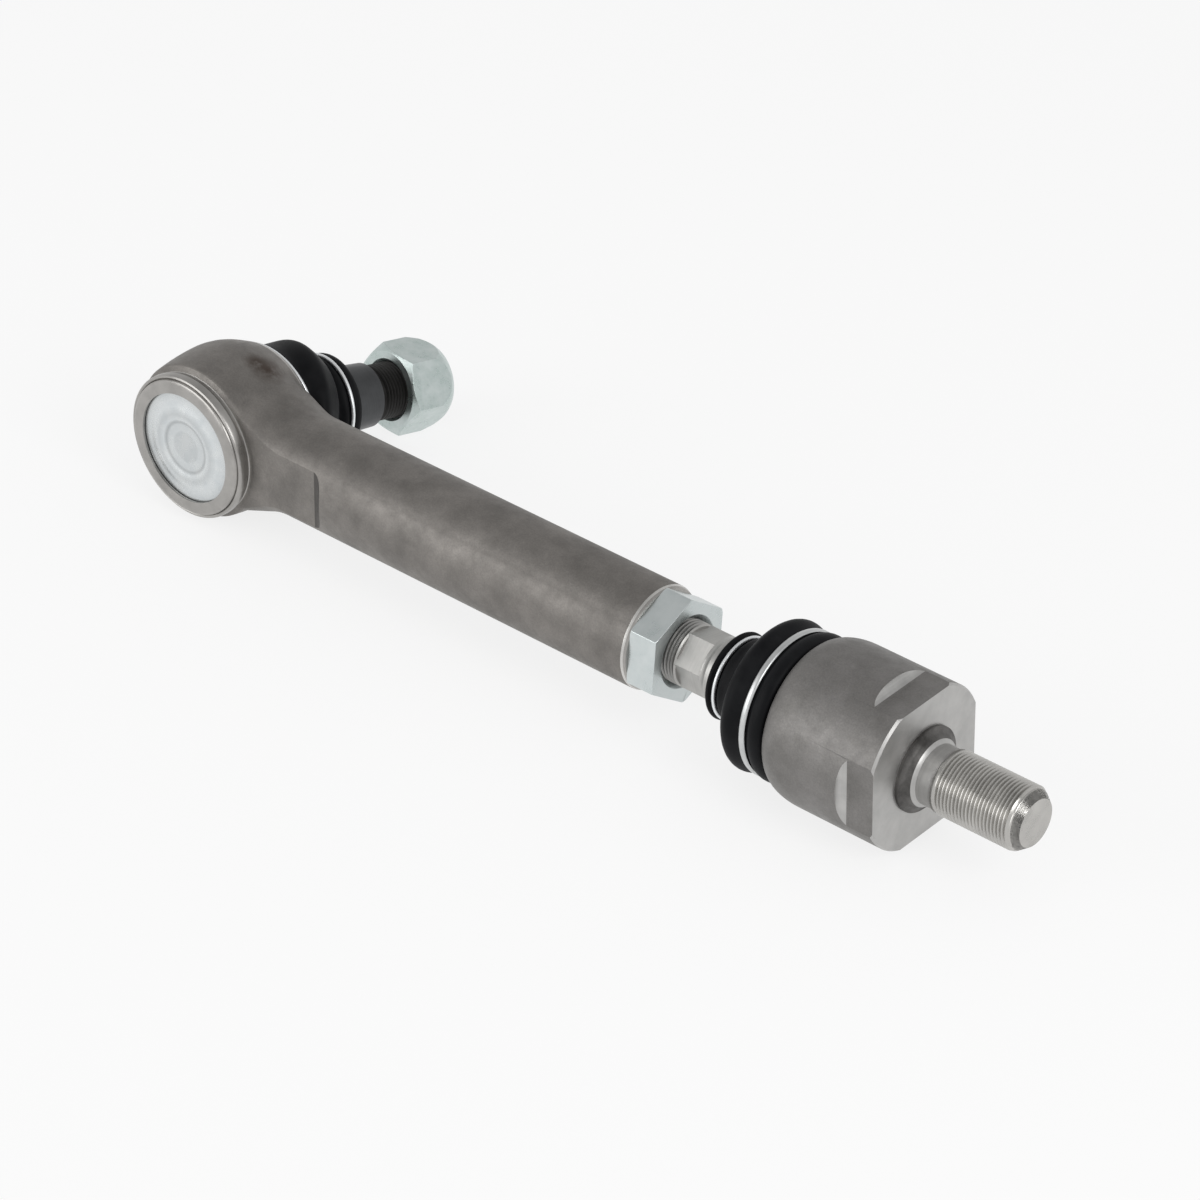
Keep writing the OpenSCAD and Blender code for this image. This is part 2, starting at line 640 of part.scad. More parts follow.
// The housing's outline: spigot, rounded shoulder, body, face, foot, relief and male thread.
module housing_section() {
    shoulder = housing_r - housing_spigot_r;
    shoulder_l = shoulder * 1.75;
    front_r = housing_spigot_r + 1.9;
    polygon(concat(
        [
            [mouth(axial_x - spigot_front_x, axial_neck_r, axial_lean_max), spigot_front_x],
            [housing_spigot_r - 0.6, spigot_front_x], [housing_spigot_r, spigot_front_x + 0.6],
            [housing_spigot_r, spigot_front_x + 3], [housing_spigot_r - 1, spigot_front_x + 3.5],
            [housing_spigot_r - 1, spigot_front_x + 6.5], [housing_spigot_r, spigot_front_x + 7],
            [housing_spigot_r, housing_x]
        ],
        [
            for (i = [0:steps]) let (a = 90 * i / steps) [
                front_r + (housing_r - front_r) * sin(a),
                housing_x + shoulder_l * (1 - cos(a))
            ]
        ],
        [[housing_r, face_x - 1], [housing_r - 0.7, face_x], [foot_d / 2, face_x]],
        arc([foot_d / 2, face_x + foot_h], foot_d / 2 - male_r - 1, 270, 205),
        [
            [male_r + 0.6, face_x + foot_h], [relief_d / 2, face_x + foot_h + 1],
            [relief_d / 2, face_x + foot_h + relief_l], [male_r, male_x],
            [male_r, male_end_x], [male_r - 3.1, male_end_x + male_chamfer],
            [2, male_end_x + male_chamfer], [0, male_end_x + male_chamfer - 1.6],
            [0, hole_end_x], [axial_hole_r, hole_end_x], [axial_hole_r, closing_x],
            [mouth(axial_x - spigot_front_x, axial_neck_r, axial_lean_max), closing_x]
        ]
    ));
}

module axial_housing() {
    color("gray") along_rod() rotate([0, 0, housing_turn]) difference() {
        rotate_extrude() housing_section();
        for (side = [0:90:270])
            rotate([0, 0, side]) translate([housing_af / 2, -housing_r, face_x - housing_flat_l])
                cube([housing_r, 2 * housing_r, housing_flat_l + 1]);
    }
}

module axial_closing_ring() {
    color("silver") along_rod() rotate_extrude() polygon([
        [mouth(axial_x - closing_x, axial_neck_r, axial_lean_max), closing_x],
        [axial_seat_r, closing_x], [axial_seat_r, housing_x],
        [mouth(axial_x - housing_x, axial_neck_r, axial_lean_max), housing_x]
    ]);
}

module axial_front_seat() {
    color("ivory") difference() {
        translate([housing_x, 0, 0]) along_rod()
            cylinder(r = axial_seat_r, h = axial_x - housing_x - 0.15);
        translate([axial_x, 0, 0]) sphere(r = axial_r + ball_gap);
        translate([housing_x - 0.01, 0, 0]) along_rod() cylinder(
            r1 = mouth(axial_x - housing_x, axial_neck_r, axial_lean_max),
            r2 = mouth(axial_x - axial_lip_x, axial_neck_r, axial_lean_max),
            h = axial_lip_x - housing_x
        );
    }
}

module axial_rear_seat() {
    color("ivory") difference() {
        translate([axial_x + 0.15, 0, 0]) along_rod()
            cylinder(r = axial_seat_r, h = rear_seat_x - axial_x - 0.15);
        translate([axial_x, 0, 0]) sphere(r = axial_r + ball_gap);
    }
}

module axial_disc_spring() {
    color("slategray") translate([rear_seat_x, 0, 0]) along_rod()
        cone_disc(axial_r * 0.5, axial_seat_r - 3, hole_end_x - rear_seat_x, disc_t);
}

rod_body();
end_cap();
cap_seal();
disc_spring();
pressure_pad();
bearing_shell();
ball_stud();
stud_nut();
stud_nut_insert();
outer_boot();
outer_boot_large_ring();
outer_boot_small_ring();
lock_nut();
axial_stud();
axial_boot();
axial_boot_small_ring();
axial_boot_large_ring();
axial_housing();
axial_closing_ring();
axial_front_seat();
axial_rear_seat();
axial_disc_spring();
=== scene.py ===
"""Dressed model of an adjustable tie rod with an outer and an axial ball joint.

The frame is the rod's own: the origin is the centre of the outer ball, +X runs along the
rod to the axial joint, +Y along the head from its cap to its stud side, and +Z is up.
Sizes in the classes are millimetres; meshes are built in metres.
"""

import logging
import math
from contextlib import contextmanager
from dataclasses import dataclass
from enum import Enum
from typing import Callable, Iterator, Optional, Sequence

import bpy
from mathutils import Matrix, Vector


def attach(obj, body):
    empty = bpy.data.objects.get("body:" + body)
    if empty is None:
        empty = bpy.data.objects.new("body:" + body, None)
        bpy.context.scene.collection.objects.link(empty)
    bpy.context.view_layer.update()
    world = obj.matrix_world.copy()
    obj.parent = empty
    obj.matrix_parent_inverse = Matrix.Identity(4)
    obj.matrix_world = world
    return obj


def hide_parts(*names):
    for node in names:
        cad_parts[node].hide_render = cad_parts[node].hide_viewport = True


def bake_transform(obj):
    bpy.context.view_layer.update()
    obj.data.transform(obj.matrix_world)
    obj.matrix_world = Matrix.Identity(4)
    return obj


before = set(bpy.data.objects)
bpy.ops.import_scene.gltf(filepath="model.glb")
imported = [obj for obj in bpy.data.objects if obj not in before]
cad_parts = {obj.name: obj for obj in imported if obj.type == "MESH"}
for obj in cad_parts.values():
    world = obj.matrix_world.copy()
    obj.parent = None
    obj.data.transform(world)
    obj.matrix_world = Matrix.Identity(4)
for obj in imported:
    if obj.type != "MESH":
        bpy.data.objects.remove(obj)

log = logging.getLogger("tie_rod")
MM = 0.001
STUD_DROOP = 9.4
STUD_SWING = 6.8
Profile = list[tuple[float, float]]
Colour = tuple[float, float, float]
Piece = bpy.types.Object
Material = bpy.types.Material
Face = bpy.types.MeshPolygon


def feed(tree: bpy.types.NodeTree, socket: bpy.types.NodeSocket, value) -> None:
    """Gives an input its value: another node's socket, a colour, a vector or a number."""
    if isinstance(value, bpy.types.NodeSocket):
        tree.links.new(value, socket)
    elif socket.type == "RGBA":
        socket.default_value = (*value, 1.0)
    else:
        socket.default_value = value


def add_node(tree: bpy.types.NodeTree, kind: str, inputs: dict, **settings) -> bpy.types.Node:
    """Adds a shader node.

    Args:
        tree: the tree that gets the node.
        kind: the node's type, without the word that all shader nodes start with.
        inputs: values of the inputs that don't stay as they come, by name or number.
        settings: values of its other properties.

    Returns:
        The node.
    """
    node = tree.nodes.new("ShaderNode" + kind)
    for name, value in settings.items():
        setattr(node, name, value)
    for key, value in inputs.items():
        feed(tree, node.inputs[key], value)
    return node


class Joint(Enum):
    """The two ball joints of the rod."""

    OUTER = "outer"
    AXIAL = "axial"


@dataclass(frozen=True)
class Line:
    """A straight axis that turned pieces are built on, from a start point along a direction."""

    origin: tuple[float, float, float]
    direction: tuple[float, float, float]

    def matrix(self) -> Matrix:
        """Returns the placing of a piece that was drawn along +Z from the world's origin."""
        turn = Vector((0, 0, 1)).rotation_difference(Vector(self.direction))
        return Matrix.Translation(Vector(self.origin) * MM) @ turn.to_matrix().to_4x4()

    def point(self, along: float) -> Vector:
        """Returns the point at a distance along the axis, in metres."""
        return (Vector(self.origin) + Vector(self.direction).normalized() * along) * MM


def leaning(share: float) -> tuple[float, float, float]:
    """Returns the direction that leans from the head's axis by a share of the stud's lean."""
    droop, swing = math.radians(STUD_DROOP) * share, math.radians(STUD_SWING) * share
    return (math.sin(swing), math.cos(swing) * math.cos(droop), -math.cos(swing) * math.sin(droop))


ROD_LINE = Line((0, 0, 0), (1, 0, 0))
HEAD_LINE = Line((0, 0, 0), leaning(0.0))
STUD_LINE = Line((0, 0, 0), leaning(1.0))


class Sheet:
    """One material's node sheet, with short ways to add the nodes that the finishes share."""

    def __init__(self, name: str) -> None:
        """Starts a material that holds its shader, its output and the object's coordinates."""
        self.material = bpy.data.materials.new(name)
        self.material.use_nodes = True
        self.tree = self.material.node_tree
        self.shader = self.tree.nodes["Principled BSDF"]
        self.coords = self.node("TexCoord", {}).outputs["Object"]

    def node(self, kind: str, inputs: dict, **settings) -> bpy.types.Node:
        """Adds a node to this sheet, as add_node does; returns it."""
        return add_node(self.tree, kind, inputs, **settings)

    def mapped(self, scale: tuple[float, float, float]):
        """Stretches the object's own coordinates on each axis; returns the socket."""
        return self.node("Mapping", {"Vector": self.coords, "Scale": scale}).outputs["Vector"]

    def noise(self, scale: float, detail: float, rough: float = 0.55, vector=None):
        """Adds a noise pattern; returns the socket with its grey value."""
        inputs = {"Vector": vector or self.coords, "Scale": scale, "Detail": detail, "Roughness": rough}
        return self.node("TexNoise", inputs).outputs["Fac"]

    def cells(self, scale: float):
        """Adds a cell pattern; returns the socket with the distance to the nearest seed."""
        return self.node("TexVoronoi", {"Vector": self.coords, "Scale": scale}).outputs["Distance"]

    def radius(self, axis: int, reach: float):
        """Adds the distance from an axis through the origin, from 0 to 1 at the reach in millimetres."""
        across = tuple(0.0 if k == axis else 1.0 for k in range(3))
        flat = self.node("VectorMath", {0: self.coords, 1: across}, operation="MULTIPLY")
        length = self.node("VectorMath", {0: flat.outputs[0]}, operation="LENGTH")
        return self.span(length.outputs["Value"], 0.0, 1.0, 0.0, reach * MM)

    def near(self, point: Sequence[float], reach: float):
        """Adds a spot that falls from 1 at a point to 0 at the reach, both in millimetres."""
        inputs = {0: self.coords, 1: tuple(v * MM for v in point)}
        away = self.node("VectorMath", inputs, operation="DISTANCE")
        return self.span(away.outputs["Value"], 1.0, 0.0, 0.0, reach * MM)

    def ramp(self, value, stops: Sequence[tuple[float, Colour]]):
        """Turns a grey value into colours.

        Args:
            value: socket with the grey value.
            stops: positions from 0 to 1, each with its colour.

        Returns:
            The socket with the colour.
        """
        node = self.node("ValToRGB", {"Fac": value})
        ramp = node.color_ramp
        while len(ramp.elements) < len(stops):
            ramp.elements.new(0.5)
        for element, (place, colour) in zip(ramp.elements, stops):
            element.position = place
            element.color = (*colour, 1.0)
        return node.outputs["Color"]

    def span(self, value, low: float, high: float, start: float, end: float):
        """Maps a grey value from start..end onto low..high; returns the socket."""
        inputs = {"Value": value, "From Min": start, "From Max": end, "To Min": low, "To Max": high}
        return self.node("MapRange", inputs).outputs["Result"]

    def blend(self, share, first, second, kind: str = "MIX"):
        """Mixes two colours.

        Args:
            share: socket or number with the share of the second colour.
            first: socket or colour.
            second: socket or colour.
            kind: how the second colour is laid over the first.

        Returns:
            The socket with the mixed colour.
        """
        node = self.node("Mix", {0: share, 6: first, 7: second}, data_type="RGBA", blend_type=kind)
        return node.outputs[2]

    def bump(self, height, strength: float, distance: float, under=None):
        """Adds a bump from a height, over another bump if one is given; returns the normal's socket."""
        inputs = {"Strength": strength, "Distance": distance, "Height": height}
        if under is not None:
            inputs["Normal"] = under
        return self.node("Bump", inputs).outputs["Normal"]

    def finish(self, values: dict) -> Material:
        """Sets the shader's inputs, by name, to numbers, colours or sockets; returns the material."""
        for name, value in values.items():
            feed(self.tree, self.shader.inputs[name], value)
        return self.material


@dataclass(frozen=True)
class ForgedSteel:
    """Blasted forging: grey-brown satin skin with soft blotches, fine grain and small pits."""

    name: str = "forged_steel"
    light: Colour = (0.235, 0.222, 0.208)
    dark: Colour = (0.165, 0.156, 0.146)
    rust: Colour = (0.052, 0.034, 0.025)
    rust_spots: tuple[tuple[float, float, float, float], ...] = ()
    metallic: float = 0.72

    def material(self) -> Material:
        """Returns the material."""
        sheet = Sheet(self.name)
        blotch = sheet.noise(70.0, 5.0, 0.6)
        grain = sheet.noise(1500.0, 3.0, 0.7)
        scale = sheet.noise(260.0, 4.0, 0.6)
        colour = sheet.ramp(blotch, [(0.34, self.dark), (0.66, self.light)])
        speckle = sheet.ramp(grain, [(0.25, (0.72, 0.72, 0.72)), (0.75, (1.22, 1.2, 1.18))])
        colour = sheet.blend(0.55, colour, speckle, "MULTIPLY")
        for *point, reach in self.rust_spots:
            flecks = sheet.span(scale, 0.3, 1.0, 0.3, 0.52)
            broken = sheet.node("Math", {0: sheet.near(point, reach), 1: flecks}, operation="MULTIPLY")
            colour = sheet.blend(broken.outputs["Value"], colour, self.rust)
        pits = sheet.span(sheet.cells(240.0), 0.0, 1.0, 0.0, 0.12)
        under = sheet.bump(scale, 0.3, 0.0004, sheet.bump(pits, 0.12, 0.0002))
        return sheet.finish({
            "Base Color": colour, "Metallic": self.metallic,
            "Roughness": sheet.span(scale, 0.44, 0.58, 0.3, 0.7),
            "Normal": sheet.bump(grain, 0.25, 0.00012, under),
        })


@dataclass(frozen=True)
class TurnedSteel:
    """Machined steel with fine tool marks that run round an axis."""

    name: str
    colour: Colour
    rough: float
    marks: float = 2600.0
    axis: int = 0
    strength: float = 0.16
    metallic: float = 0.9
    variation: float = 0.12

    def material(self) -> Material:
        """Returns the material."""
        sheet = Sheet(self.name)
        stretch = [40.0, 40.0, 40.0]
        stretch[self.axis] = self.marks
        lines = sheet.noise(1.0, 2.0, 0.5, sheet.mapped(tuple(stretch)))
        cloud = sheet.noise(120.0, 4.0, 0.6)
        low = tuple(c * (1 - self.variation) for c in self.colour)
        high = tuple(min(1.0, c * (1 + self.variation)) for c in self.colour)
        streaks = sheet.ramp(lines, [(0.3, (0.8, 0.8, 0.8)), (0.7, (1.1, 1.1, 1.1))])
        colour = sheet.blend(0.35, sheet.ramp(cloud, [(0.3, low), (0.7, high)]), streaks, "MULTIPLY")
        return sheet.finish({
            "Base Color": colour, "Metallic": self.metallic,
            "Roughness": sheet.span(cloud, self.rough - 0.05, self.rough + 0.07, 0.3, 0.7),
            "Normal": sheet.bump(lines, self.strength, 0.00008),
        })


@dataclass(frozen=True)
class ZincPlate:
    """Bright zinc plate: cool silver with faint clouding and a hint of a green or blue tint. Rings, where
    given, multiply it by greys that change with distance from the Y axis: painted highlight and shade.
    """

    name: str
    colour: Colour
    tint: Colour
    rough: float
    rings: Sequence[tuple[float, float]] = ()

    def material(self) -> Material:
        """Returns the material."""
        sheet = Sheet(self.name)
        cloud = sheet.noise(150.0, 5.0, 0.65)
        fine = sheet.noise(700.0, 2.0, 0.5)
        plate = sheet.ramp(cloud, [(0.32, self.tint), (0.62, self.colour)])
        # painted highlight and shade: greys by distance from the Y axis multiply the plate
        if self.rings:
            edge = self.rings[-1][0]
            painted_light_rings = sheet.ramp(sheet.radius(1, edge), [(r / edge, (k, k, k)) for r, k in self.rings])
            plate = sheet.blend(1.0, plate, painted_light_rings, "MULTIPLY")
        return sheet.finish({
            "Base Color": plate, "Metallic": 0.88,
            "Roughness": sheet.span(cloud, self.rough - 0.06, self.rough + 0.08, 0.3, 0.7),
            "Normal": sheet.bump(fine, 0.02, 0.00002),
        })


@dataclass(frozen=True)
class MouldedRubber:
    """Black moulded rubber, faintly blue, with a satin skin and light dusting."""

    name: str = "black_rubber"
    colour: Colour = (0.0045, 0.0048, 0.0058)
    dust: Colour = (0.012, 0.0124, 0.0136)

    def material(self) -> Material:
        """Returns the material."""
        sheet = Sheet(self.name)
        cloud = sheet.noise(95.0, 5.0, 0.6)
        fine = sheet.noise(900.0, 3.0, 0.6)
        return sheet.finish({
            "Base Color": sheet.ramp(cloud, [(0.42, self.colour), (0.78, self.dust)]),
            "Roughness": sheet.span(cloud, 0.42, 0.6, 0.3, 0.7), "Specular IOR Level": 0.1,
            "Normal": sheet.bump(fine, 0.14, 0.0001),
        })


@dataclass(frozen=True)
class Plastic:
    """Moulded plastic of the seats and the nut's locking ring."""

    name: str
    colour: Colour

    def material(self) -> Material:
        """Returns the material."""
        sheet = Sheet(self.name)
        cloud = sheet.noise(200.0, 3.0, 0.5)
        darker = tuple(c * 0.9 for c in self.colour)
        return sheet.finish({
            "Base Color": sheet.ramp(cloud, [(0.3, darker), (0.7, self.colour)]),
            "Roughness": sheet.span(cloud, 0.4, 0.5, 0.3, 0.7),
            "Normal": sheet.bump(sheet.noise(1200.0, 2.0), 0.06, 0.00005),
        })


class Bench:
    """Modelling steps that every piece shares, done with the editing operators."""

    @staticmethod
    def clear() -> None:
        """Leaves edit mode and deselects everything."""
        if bpy.context.object and bpy.context.object.mode != "OBJECT":
            bpy.ops.object.mode_set(mode="OBJECT")
        bpy.ops.object.select_all(action="DESELECT")

    @staticmethod
    def pick(piece: Piece) -> None:
        """Makes one piece the only selected and active one."""
        Bench.clear()
        piece.select_set(True)
        bpy.context.view_layer.objects.active = piece

    @staticmethod
    @contextmanager
    def editing(piece: Piece) -> Iterator[None]:
        """Opens a piece in edit mode with all of it selected, and leaves edit mode afterwards."""
        Bench.pick(piece)
        bpy.ops.object.mode_set(mode="EDIT")
        bpy.ops.mesh.select_all(action="SELECT")
        yield
        bpy.ops.object.mode_set(mode="OBJECT")

    @staticmethod
    def select_open_edges() -> None:
        """Selects only the open edges of the piece in edit mode."""
        bpy.ops.mesh.select_all(action="DESELECT")
        bpy.ops.mesh.select_mode(type="EDGE")
        bpy.ops.mesh.select_non_manifold()

    @staticmethod
    def face_outwards() -> None:
        """Turns all faces of the piece in edit mode outwards."""
        bpy.ops.mesh.select_all(action="SELECT")
        bpy.ops.mesh.normals_make_consistent(inside=False)

    @staticmethod
    def coat(piece: Piece, *finishes: Material) -> None:
        """Gives a piece these finishes in place of the ones that it has."""
        piece.data.materials.clear()
        for finish in finishes:
            piece.data.materials.append(finish)

    @staticmethod
    def turn(name: str, profile: Profile, segments: int, closed: bool = False) -> Piece:
        """Turns a profile about +Z: a ring is added and extruded from point to point.

        Args:
            name: name of the new piece.
            profile: radius and height of each ring, in millimetres.
            segments: points round each ring.
            closed: joins the last ring to the first, as on a hollow sleeve.

        Returns:
            The new piece, still along +Z at the world's origin.
        """
        Bench.clear()
        radius, height = profile[0]
        middle = (0, 0, height * MM)
        bpy.ops.mesh.primitive_circle_add(vertices=segments, radius=radius * MM, location=middle)
        piece = bpy.context.object
        piece.name = piece.data.name = name
        with Bench.editing(piece):
            for (r0, z0), (r1, z1) in zip(profile, profile[1:]):
                bpy.ops.mesh.extrude_region_move(TRANSFORM_OT_translate={"value": (0, 0, (z1 - z0) * MM)})
                bpy.ops.transform.resize(value=(r1 / r0, r1 / r0, 1), center_override=(0, 0, 0))
            Bench.select_open_edges()
            if closed:
                bpy.ops.mesh.bridge_edge_loops()
            else:
                bpy.ops.mesh.fill_holes(sides=0)
            Bench.face_outwards()
        bpy.ops.object.transform_apply(location=True, rotation=True, scale=True)
        return piece

    @staticmethod
    def place(piece: Piece, line: Line) -> Piece:
        """Moves a piece that was drawn along +Z onto its axis, into its mesh; returns it."""
        Bench.pick(piece)
        piece.matrix_world = line.matrix()
        bpy.ops.object.transform_apply(location=True, rotation=True, scale=True)
        return piece

    @staticmethod
    def smooth(piece: Piece, angle: float) -> Piece:
        """Shades a piece smooth up to an edge angle; returns it."""
        Bench.pick(piece)
        bpy.ops.object.shade_smooth_by_angle(angle=math.radians(angle))
        return piece

    @staticmethod
    def level(piece: Piece) -> Piece:
        """Weights normals by face size, so that wide faces look flat by rounded edges; returns the piece."""
        Bench.pick(piece)
        weighted = piece.modifiers.new("normals", "WEIGHTED_NORMAL")
        weighted.keep_sharp = True
        bpy.ops.object.modifier_apply(modifier=weighted.name)
        return piece

    @staticmethod
    def join(pieces: Sequence[Piece], name: str) -> Piece:
        """Joins pieces into one object under a new name; returns it."""
        Bench.pick(pieces[0])
        for piece in pieces[1:]:
            piece.select_set(True)
        bpy.ops.object.join()
        joined = bpy.context.object
        joined.name = joined.data.name = name
        return joined

    @staticmethod
    def copy_solid(node: str, name: str) -> Piece:
        """Copies a solid of the frame as a merged mesh that can be edited; returns it."""
        Bench.clear()
        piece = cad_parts[node].copy()
        piece.data = piece.data.copy()
        piece.parent = None
        for key in list(piece.keys()):
            if key.startswith("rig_"):
                del piece[key]
        bpy.context.scene.collection.objects.link(piece)
        piece.name = piece.data.name = name
        with Bench.editing(piece):
            bpy.ops.mesh.remove_doubles(threshold=0.000002)
        return piece

    @staticmethod
    def cut(piece: Piece, point: Vector, normal: Vector, remove: bool = True) -> Piece:
        """Cuts a piece along a plane.

        Args:
            piece: the piece to cut.
            point: a point of the plane, in metres.
            normal: the plane's normal.
            remove: takes away what lies beyond the plane and closes the cut. Otherwise the
                faces are only divided, so that a finish can end there.

        Returns:
            The same piece.
        """
        with Bench.editing(piece):
            bpy.ops.mesh.bisect(plane_co=point, plane_no=normal, use_fill=remove, clear_outer=remove)
        return piece

    @staticmethod
    def subtract(piece: Piece, cutter: Piece) -> None:
        """Cuts one closed piece out of another and deletes the cutter."""
        tool = piece.modifiers.new("cut", "BOOLEAN")
        tool.operation = "DIFFERENCE"
        tool.solver = "EXACT"
        tool.object = cutter
        Bench.pick(piece)
        bpy.ops.object.modifier_apply(modifier=tool.name)
        Bench.pick(cutter)
        bpy.ops.object.delete()

    @staticmethod
    def soften(piece: Piece, width: float, angle: float) -> Piece:
        """Rounds a piece's sharp edges by a small bevel, two faces wide.

        Args:
            piece: the piece to round.
            width: width of the bevel in millimetres.
            angle: smallest edge angle that counts as sharp, in degrees.

        Returns:
            The same piece.
        """
        with Bench.editing(piece):
            bpy.ops.mesh.dissolve_limited(angle_limit=math.radians(0.6))
        bevel = piece.modifiers.new("edges", "BEVEL")
        bevel.width = width * MM
        bevel.segments = 2
        bevel.limit_method = "ANGLE"
        bevel.angle_limit = math.radians(angle)
        bevel.use_clamp_overlap = True
        bevel.miter_outer = "MITER_ARC"
        bpy.ops.object.modifier_apply(modifier=bevel.name)
        return piece


@dataclass(frozen=True)
class Thread:
    """A right-hand male thread: a core and one helical ridge that follows the shank's outline.

    The ridge's section starts as a hexagon whose middle is sunk a little into the core. Its
    outer corners move to the thread's radius and together, to a share of their width. Its
    inner corners move into the core, by how deep it is rooted. Where the thread starts and
    ends, the ridge dips under the core.
    """

    radius: float
    pitch: float
    start: float
    end: float
    lead_in: float
    lead_out: float
    tip_radius: Optional[float] = None
    segments: int = 72
    sunk: float = 0.02
    rooted: float = 0.25
    crest_share: float = 0.34
    start_under: float = 0.2
    end_under: float = 0.3

    @property
    def depth(self) -> float:
        """Height of the ridge above the core."""
        return self.pitch * 0.6

    def outline(self, along: float) -> float:
        """Returns the largest radius that the thread may have at a place along it."""
        root = self.radius - self.depth
        tip = root - self.end_under if self.tip_radius is None else self.tip_radius
        near = (self.end - along) / self.lead_out
        far = (along - self.start) / self.lead_in
        low = root - self.start_under
        return min(self.radius, tip + (self.radius - tip) * near, low + (self.radius - low) * far)

    def build(self, name: str, line: Line, length: float) -> Piece:
        """Builds the core and the ridge.

        Args:
            name: name of the new piece.
            line: axis of the thread.
            length: place along the axis where the shank's end lies.

        Returns:
            The threaded piece, on its axis.
        """
        root, tip = self.radius - self.depth, self.tip_radius
        if tip is None:
            ends = [(root, self.start), (root, length)]
        else:
            reach = self.lead_out * (root - tip) / (self.radius - tip)
            ends = [(root, self.start), (root, self.end - reach), (tip, self.end)]
        core = Bench.turn(name + "_core", ends, self.segments)
        Bench.clear()
        middle, seat = (self.start - self.pitch / 2) * MM, (root - self.sunk) * MM
        bpy.ops.mesh.primitive_circle_add(
            vertices=6, radius=self.pitch / 2 * MM, location=(seat, 0, middle), rotation=(math.pi / 2, 0, 0),
        )
        ridge = bpy.context.object
        ridge.name = name + "_ridge"
        bpy.ops.object.transform_apply(location=True, rotation=True, scale=True)
        for vertex in ridge.data.vertices:
            side, out = vertex.co.z - middle, vertex.co.x - seat
            if out > 0.1 * MM:
                vertex.co.x = self.radius * MM
                vertex.co.z = middle + side * self.crest_share
            elif out < -0.1 * MM:
                vertex.co.x = (root - self.rooted) * MM
        screw = ridge.modifiers.new("helix", "SCREW")
        screw.axis = "Z"
        screw.angle = 2 * math.pi
        screw.screw_offset = self.pitch * MM
        screw.iterations = math.ceil((self.end - self.start) / self.pitch) + 1
        screw.steps = screw.render_steps = self.segments
        Bench.pick(ridge)
        bpy.ops.object.modifier_apply(modifier=screw.name)
        with Bench.editing(ridge):
            Bench.select_open_edges()
            bpy.ops.mesh.fill_holes(sides=0)
            Bench.face_outwards()
        for vertex in ridge.data.vertices:
            along = min(max(vertex.co.z / MM, self.start), self.end)
            vertex.co.z = along * MM
            limit = max(self.outline(along), 0.5)
            radius = math.hypot(vertex.co.x, vertex.co.y) / MM
            if radius > limit:
                vertex.co.x *= limit / radius
                vertex.co.y *= limit / radius
        return Bench.place(Bench.join([core, ridge], name), line)


@dataclass
class ForgedRod:
    """The forging: its head with turned bands, its flat-sided web and its round barrel."""

    head_radius: float = 33.0
    rim_end: float = -16.5
    bevel_start: float = 18.4
    bevel_radius: float = 28.4
    bevel_reach: float = 21.0
    bevel_slope: float = 0.2
    runout: tuple[float, float] = (60.2, 67.6)
    runout_height: float = 13.0
    runout_slope: float = 0.12
    web_half: float = 15.0
    barrel_chamfer_start: float = 214.0
    barrel_chamfer_end: float = 214.85

    def is_turned(self, face: Face) -> bool:
        """Tells whether a face lies on a turned band of the head or the barrel's end."""
        x, y, z = face.center / MM
        around = math.hypot(x, z)
        if x > self.barrel_chamfer_start:
            return True
        if around > self.head_radius:
            return False
        if y < self.rim_end:
            return True
        clear_of_web = x < self.bevel_reach or around < self.bevel_radius
        return y > self.bevel_start and clear_of_web and abs(face.normal.y) > self.bevel_slope

    def is_runout(self, face: Face) -> bool:
        """Tells whether a face lies where the web's flat runs out into the barrel; these faces get painted
        shade.
        """
        x, y, z = face.center / MM
        if not self.runout[0] < x < self.runout[1] or abs(z) >= self.runout_height:
            return False
        return abs(y) > self.web_half and abs(face.normal.x) > self.runout_slope

    def zone(self, face: Face) -> int:
        """Returns 1 for a turned face, 2 for the run-out, which is coloured dark as painted shade, 3 for the
        barrel's end chamfer, 0 elsewhere.
        """
        if self.is_turned(face):
            at_end = self.barrel_chamfer_start < face.center.x / MM < self.barrel_chamfer_end
            return 3 if at_end else 1
        return 2 if self.is_runout(face) else 0

    def build(self) -> Piece:
        """Returns the rod's forging with its edges rounded and its finishes set."""
        piece = Bench.copy_solid("rod_body", "forged_rod")
        Bench.soften(piece, 0.35, 25.0)
        for line, along in ((HEAD_LINE, self.bevel_start), (ROD_LINE, self.barrel_chamfer_end)):
            Bench.cut(piece, line.point(along), Vector(line.direction), remove=False)
        rust_spots = ((15.4, 6.2, 26.8, 8.5), (10.5, 4.5, 29.0, 6.0))
        Bench.coat(
            piece,
            ForgedSteel(rust_spots=rust_spots).material(),
            TurnedSteel("turned_head", (0.375, 0.364, 0.348), rough=0.32, axis=1, strength=0.2).material(),
            # painted shade: the web's run-out gets a far darker forged finish in place of its own shading
            ForgedSteel("runout_painted_shade", (0.10, 0.095, 0.09), (0.08, 0.075, 0.07)).material(),
            TurnedSteel("barrel_end", (0.62, 0.61, 0.59), rough=0.26, axis=0, strength=0.12).material(),
        )
        for face in piece.data.polygons:
            face.material_index = self.zone(face)
        Bench.smooth(piece, 30)
        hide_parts("rod_body")
        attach(piece, "rod")
        return piece


